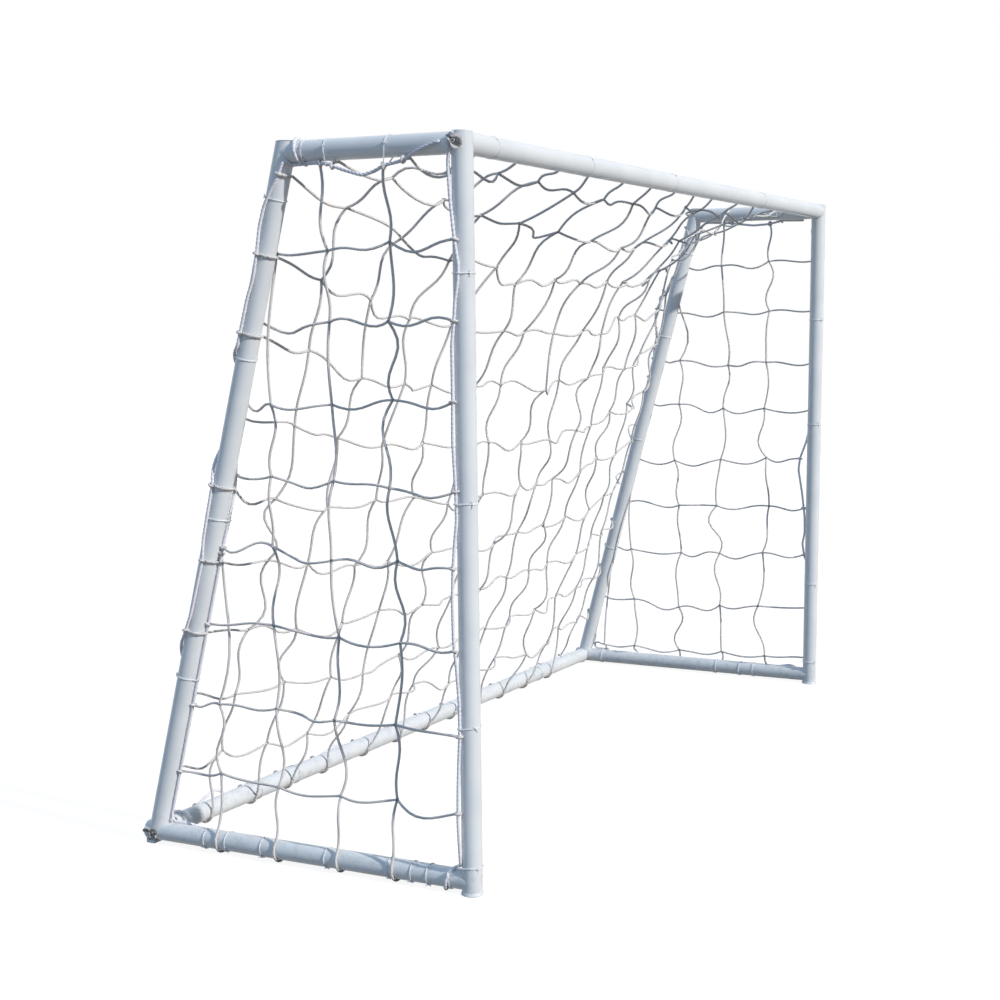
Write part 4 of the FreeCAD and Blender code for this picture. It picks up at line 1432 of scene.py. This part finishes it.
@dataclass
class NetWork:
    """The net with its border ropes and ties."""

    lines: Lines
    left_holds: dict = field(default_factory=lambda: {
        Run.TOP: (
            (0.085, 96), (0.146, 80), (0.206, 62, 1), (0.266, 38, 3), (0.316, 26, 7), (0.407, 22, 11),
            (0.455, 19, 19), (0.525, 19, 25), (0.637, 22, 15), (0.734, 26, 4), (0.816, 16), (0.93, 4),
        ),
        Run.REAR: (
            (0.035, -4), (0.24, -8), (0.45, -12), (0.52, -34), (0.58, -88), (0.90, -92), (0.965, -80),
        ),
        Run.BOTTOM: ((0.045, 0), (0.088, 262), (0.46, 250), (0.70, 268), (0.84, 262), (0.94, 356)),
        Run.POST: (
            (0.030, 50), (0.052, 60, 3), (0.088, 60, 5), (0.131, 60, 4), (0.174, 56, 1), (0.216, 64),
            (0.258, 62), (0.300, 60, 3), (0.342, 60, 8), (0.397, 60, 9), (0.440, 60, 7), (0.479, 60, 3),
            (0.507, 64), (0.545, 60), (0.614, 60, 4), (0.667, 60, 3), (0.740, 60, 3), (0.776, 68),
            (0.798, 75), (0.820, 90), (0.843, 95), (0.866, 82), (0.906, 62), (0.931, 52, 1), (0.972, 40, 2),
        ),
    })
    back_holds: dict = field(default_factory=lambda: {
        Run.TOP: ((0.885, -415), (0.90, -270), (0.935, -110), (0.965, 60)),
        Run.REAR: (
            (0.05, 215), (0.26, 210), (0.31, 120), (0.345, 96), (0.43, 88), (0.46, 106), (0.54, 114),
            (0.60, 215), (0.70, 210), (0.735, 116), (0.80, 108), (0.83, 94), (0.865, 100), (0.90, 116),
            (0.925, 110), (0.952, 84), (0.968, 64),
        ),
    })
    right_holds: dict = field(default_factory=lambda: {
        Run.TOP: ((0.12, 20), (0.30, 30), (0.41, 0, 6), (0.52, 0, 8), (0.63, 0, 4), (0.75, 16), (0.90, 30)),
        Run.REAR: (
            (0.035, 40), (0.12, 140), (0.68, 150), (0.735, 205), (0.775, 214, 17), (0.80, 214, 17),
            (0.835, 205), (0.87, 150), (0.93, 60), (0.965, 20),
        ),
        Run.BOTTOM: ((0.09, 30), (0.2, 95), (0.5, 100), (0.85, 90), (0.94, 20)),
        Run.POST: (
            (0.012, 30), (0.08, 60), (0.24, 60), (0.262, 8), (0.29, 0, 5), (0.315, 4), (0.35, 4, 1),
            (0.40, 0, 8), (0.453, 0, 19), (0.479, 0, 15), (0.516, 8), (0.56, 60), (0.90, 58), (0.965, 20),
        ),
    })
    bar_holds: tuple = ((0.027,), (0.2, 10), (0.35, -14), (0.6, 12), (0.8, -8), (0.973,))
    ground_holds: tuple = (
        (0.018,), (0.030, -330), (0.044, -630), (0.075, -636), (0.087, -676, 4), (0.098, -682, 9),
        (0.108, -676, 4), (0.12, -640), (0.3, -634), (0.33, -668, 2), (0.36, -636), (0.5, -646),
        (0.75, -638), (0.973, -660),
    )
    bar_ties: tuple = (0.05, 0.245, 0.463, 0.755)
    ground_ties: tuple = (0.16, 0.232, 0.45, 0.65, 0.838)
    bar_knot: float = 2.4
    thinnest: float = 0.00028

    def build(self) -> None:
        """Makes the ropes, the panels and the ties, in that order."""
        lines = self.lines
        left = RopeRoute(lines, -1.0, self.left_holds, crown=True)
        right = RopeRoute(lines, 1.0, self.right_holds)
        back = RopeRoute(lines, -1.0, self.back_holds, (Run.TOP, Run.REAR))
        _, y, z = lines.along(Run.REAR)
        bar = BarRope(lines, (0.0, 1.0, 0.0), (0.0, 0.0, 1.0), self.bar_holds, lines.front_y, lines.top_z)
        ground = BarRope(lines, (0.0, y, z), (0.0, z, -y), self.ground_holds, lines.rear_y, lines.low_z)
        for name, nodes, rope in (
            ("border_rope_left", ("side_rope_left",), left),
            ("border_rope_right", ("side_rope_right",), right),
            ("back_rope_left", (), back),
            ("crossbar_border_rope", ("crossbar_rope",), bar),
            ("ground_border_rope", ("ground_rope",), ground),
        ):
            LaidRope(name, nodes).build(*rope.path())
        SidePanel(
            "net_left", "side_net_left", -1.0, (-0.185, -0.066, 0.054, 0.176, 0.262),
            (0.135, 0.272, 0.405, 0.533, 0.661, 0.788, 0.913, 1.040), seed=11, rear_turn=-1,
        ).build(lines, left)
        SidePanel(
            "net_right", "side_net_right", 1.0, (-0.195, -0.076, 0.042, 0.165, 0.255),
            (0.058, 0.187, 0.322, 0.444, 0.569, 0.703, 0.816, 0.943, 1.066), seed=17,
        ).build(lines, right)
        BackSheet(
            "net_back", ("roof_net", "back_net"),
            columns=(
                -0.756, -0.629, -0.502, -0.380, -0.232, -0.096, 0.024, 0.141, 0.262, 0.388, 0.514, 0.640,
                0.760,
            ),
            rows=tuple(0.055 + 0.117 * k for k in range(11)),
            middle=(
                (-0.3007, 1.181), (-0.252, 1.140), (-0.148, 1.069), (-0.080, 0.985), (-0.014, 0.882),
                (0.022, 0.780), (0.065, 0.640), (0.115, 0.480), (0.175, 0.300), (0.245, 0.140),
                (0.300, 0.043),
            ),
        ).build(lines, ((left, back), (right, right)), bar, ground)
        self._tie_sides(left, right)
        self._tie_bar("crossbar_ties", bar, self.bar_ties, self.thinnest)
        self._tie_bar("ground_bar_ties", ground, self.ground_ties)

    def _tie_sides(self, left: RopeRoute, right: RopeRoute) -> None:
        """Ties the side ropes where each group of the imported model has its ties.

        Args:
            left: The left frame's border rope.
            right: The right frame's.
        """
        rows = {
            Run.POST: TieRow(
                "post_ties", 2.58, (0.0214, 0.221, 0.529, 0.833), (0.0295, 0.202, 0.5515, 0.774)
            ),
            Run.REAR: TieRow("rear_post_ties", 2.6, (0.248, 0.49, 0.72, 0.938), (0.26, 0.51, 0.74, 0.92)),
            Run.TOP: TieRow("top_bar_ties", 1.8, (0.393, 0.740, 0.872), (0.32, 0.70)),
            Run.BOTTOM: TieRow(
                "bottom_bar_ties", 2.5, (0.055, 0.121, 0.171, 0.240, 0.4315, 0.640, 0.757, 0.828),
                (0.234, 0.291, 0.397, 0.909),
            ),
        }
        for run, row in rows.items():
            ties = Ties(row.node, self.lines.tube, 31 + run.value)
            way = self.lines.along(run)
            for route, shares in ((left, row.left), (right, row.right)):
                for share in shares:
                    angle, reach = route.at(run, share)
                    aim = np.array([0.0, angle, angle + 0.5 * math.pi])
                    spots, aways = route.beside(run, share, aim, np.array([0.0, 1.0, 1.0]))
                    outboard = np.cross(way, aways[1]) @ aways[2]
                    ties.add(spots[0], way, aways[1], reach, outboard * (row.knot * -route.side - angle))
            ties.build()

    def _tie_bar(self, node: str, rope: BarRope, shares: tuple, radius: float = 0.00072) -> None:
        """Ties a bar's rope at shares of the bar.

        Args:
            node: The ties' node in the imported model.
            rope: The bar's rope.
            shares: Where the ties are.
            radius: The cord's radius.
        """
        ties = Ties(node, self.lines.tube, 47 + len(shares), radius)
        for share in shares:
            x = (2 * share - 1) * self.lines.post_x
            angle, reach = rope.at(None, x)
            toward = rope.beside(None, x, angle, 1.0)[1][0]
            ties.add(np.array([x, rope.y, rope.z]), X_AXIS, toward, reach, self.bar_knot)
        ties.build()


# ------------------------------------------------------------------ stage


@dataclass
class Studio:
    """Floor, light and camera."""

    place: tuple = (-3.1197, -1.5899, 0.9108)
    azimuth: float = -64.2117
    elevation: float = 9.4007
    roll: float = -0.1877
    lens: float = 59.44
    sensor: float = 36.0
    clip: tuple = (0.05, 200.0)
    shift: tuple = (-0.0761, 0.0982)
    key: float = 2.95
    key_width: float = 1.2
    key_colour: tuple = (1.0, 0.965, 0.92)
    key_from: tuple = (-0.115, -0.86, 0.50)
    sky: tuple = (0.11, 0.148, 0.20)
    deep_sky: tuple = (0.32, 0.51, 0.76)
    deep: tuple = (-0.60, 0.10, 0.79)
    deep_start: float = 0.3
    rear_fill: tuple = (1.55, 1.44, 1.28)
    rear: tuple = (0.62, 0.76, 0.20)
    rear_start: float = 0.6
    white: tuple = (1.0, 1.0, 1.0)
    floor_colour: tuple = (0.22, 0.212, 0.20)
    floor_lift: float = 0.90
    floor_half: float = 30.0

    def camera(self) -> None:
        """A camera that looks along its azimuth and elevation, rolled a little."""
        a, e, r = (math.radians(v) for v in (self.azimuth, self.elevation, self.roll))
        back = np.array([math.sin(a) * math.cos(e), -math.cos(a) * math.cos(e), math.sin(e)])
        right = np.array([math.cos(a), math.sin(a), 0.0])
        up = np.cross(back, right)
        right, up = right * math.cos(r) + up * math.sin(r), up * math.cos(r) - right * math.sin(r)
        data = bpy.data.cameras.new("camera")
        data.lens, data.sensor_width = self.lens, self.sensor
        data.shift_x, data.shift_y = self.shift
        data.clip_start, data.clip_end = self.clip
        made = bpy.data.objects.new("camera", data)
        made.matrix_world = Matrix([*np.column_stack([right, up, back, self.place]), (0, 0, 0, 1)])
        bpy.context.scene.collection.objects.link(made)
        bpy.context.scene.camera = made

    def lights(self) -> None:
        """A key from the front, a cool sky that deepens away from it, and a soft fill from behind."""
        data = bpy.data.lights.new("key", "SUN")
        data.energy, data.angle = self.key, math.radians(self.key_width)
        data.color = self.key_colour
        made = bpy.data.objects.new("key", data)
        made.rotation_euler = Vector(self.key_from).to_track_quat("Z", "Y").to_euler()
        bpy.context.scene.collection.objects.link(made)
        world = bpy.data.worlds.new("studio")
        world.use_nodes = True
        bpy.context.scene.world = world
        nodes = Nodes(world.node_tree)
        nodes.tree.nodes.clear()
        cool = self._lobe(nodes, self.sky, self.deep_sky, self.deep, self.deep_start)
        warm = self._lobe(nodes, cool, self.rear_fill, self.rear, self.rear_start)
        light, white = (nodes.made("Background", {"Color": colour}) for colour in (warm, self.white))
        surface = nodes.made("MixShader", {0: self._seen(nodes), 1: light, 2: white})
        nodes.feed(nodes.tree.nodes.new("ShaderNodeOutputWorld").inputs["Surface"], surface)

    def _lobe(self, nodes: Nodes, under: object, colour: tuple, toward: tuple, start: float) -> object:
        """A colour of light that takes over from another towards a direction.

        Its share rises evenly with the cosine of the angle to that direction, up to 1.

        Args:
            nodes: The world's nodes.
            under: The other colour, or its socket.
            colour: The colour.
            toward: The direction.
            start: The cosine at which its share is 0.

        Returns:
            The mixed colour's socket.
        """
        way = nodes.made("TexCoord", {}, "Generated")
        along = nodes.made("VectorMath", {0: way, 1: toward}, "Value", operation="DOT_PRODUCT")
        return nodes.mix(nodes.made("MapRange", {"Value": along, "From Min": start}), under, colour)

    def _seen(self, nodes: Nodes) -> bpy.types.NodeSocket:
        """Tells what is seen from light itself.

        Args:
            nodes: The nodes to build it in.

        Returns:
            A socket: 1 for a ray from the camera, off gloss or through glass, and 0 for light.
        """
        kinds = ("Camera", "Glossy", "Transmission")
        camera, gloss, glass = (nodes.made("LightPath", {}, f"Is {kind} Ray") for kind in kinds)
        return nodes.math("MAXIMUM", nodes.math("MAXIMUM", camera, gloss), glass)

    def floor(self) -> None:
        """A wide pale floor: plain grey to the light, and lifted to white where it is seen."""
        mesh, half = bpy.data.meshes.new("floor"), self.floor_half
        edge = ((-half, -half, 0), (half, -half, 0), (half, half, 0), (-half, half, 0))
        mesh.from_pydata(edge, [], [range(4)])
        made = bpy.data.objects.new("floor", mesh)
        bpy.context.scene.collection.objects.link(made)
        r = Recipe("floor", {
            "Base Color": self.floor_colour, "Roughness": 0.9, "Specular IOR Level": 0.0,
            "Emission Color": self.white,
        })
        r.feed(r.shader.inputs["Emission Strength"], r.times(self._seen(r), self.floor_lift))
        mesh.materials.append(r.material)

    def build(self) -> None:
        """Sets the stage."""
        bpy.context.scene.view_settings.view_transform = "Standard"
        self.floor()
        self.lights()
        self.camera()


def corners(box: tuple) -> list:
    """A box's two corners as plain lists."""
    return [list(map(float, c)) for c in box]


def main() -> None:
    """Builds the looks in order."""
    logging.basicConfig(level=logging.INFO, format="%(name)s: %(message)s")
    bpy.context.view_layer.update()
    Studio().build()
    NetWork(Lines.read()).build()
    FrameDress().dress()
    bpy.context.view_layer.update()


if __name__ == "__main__":
    main()
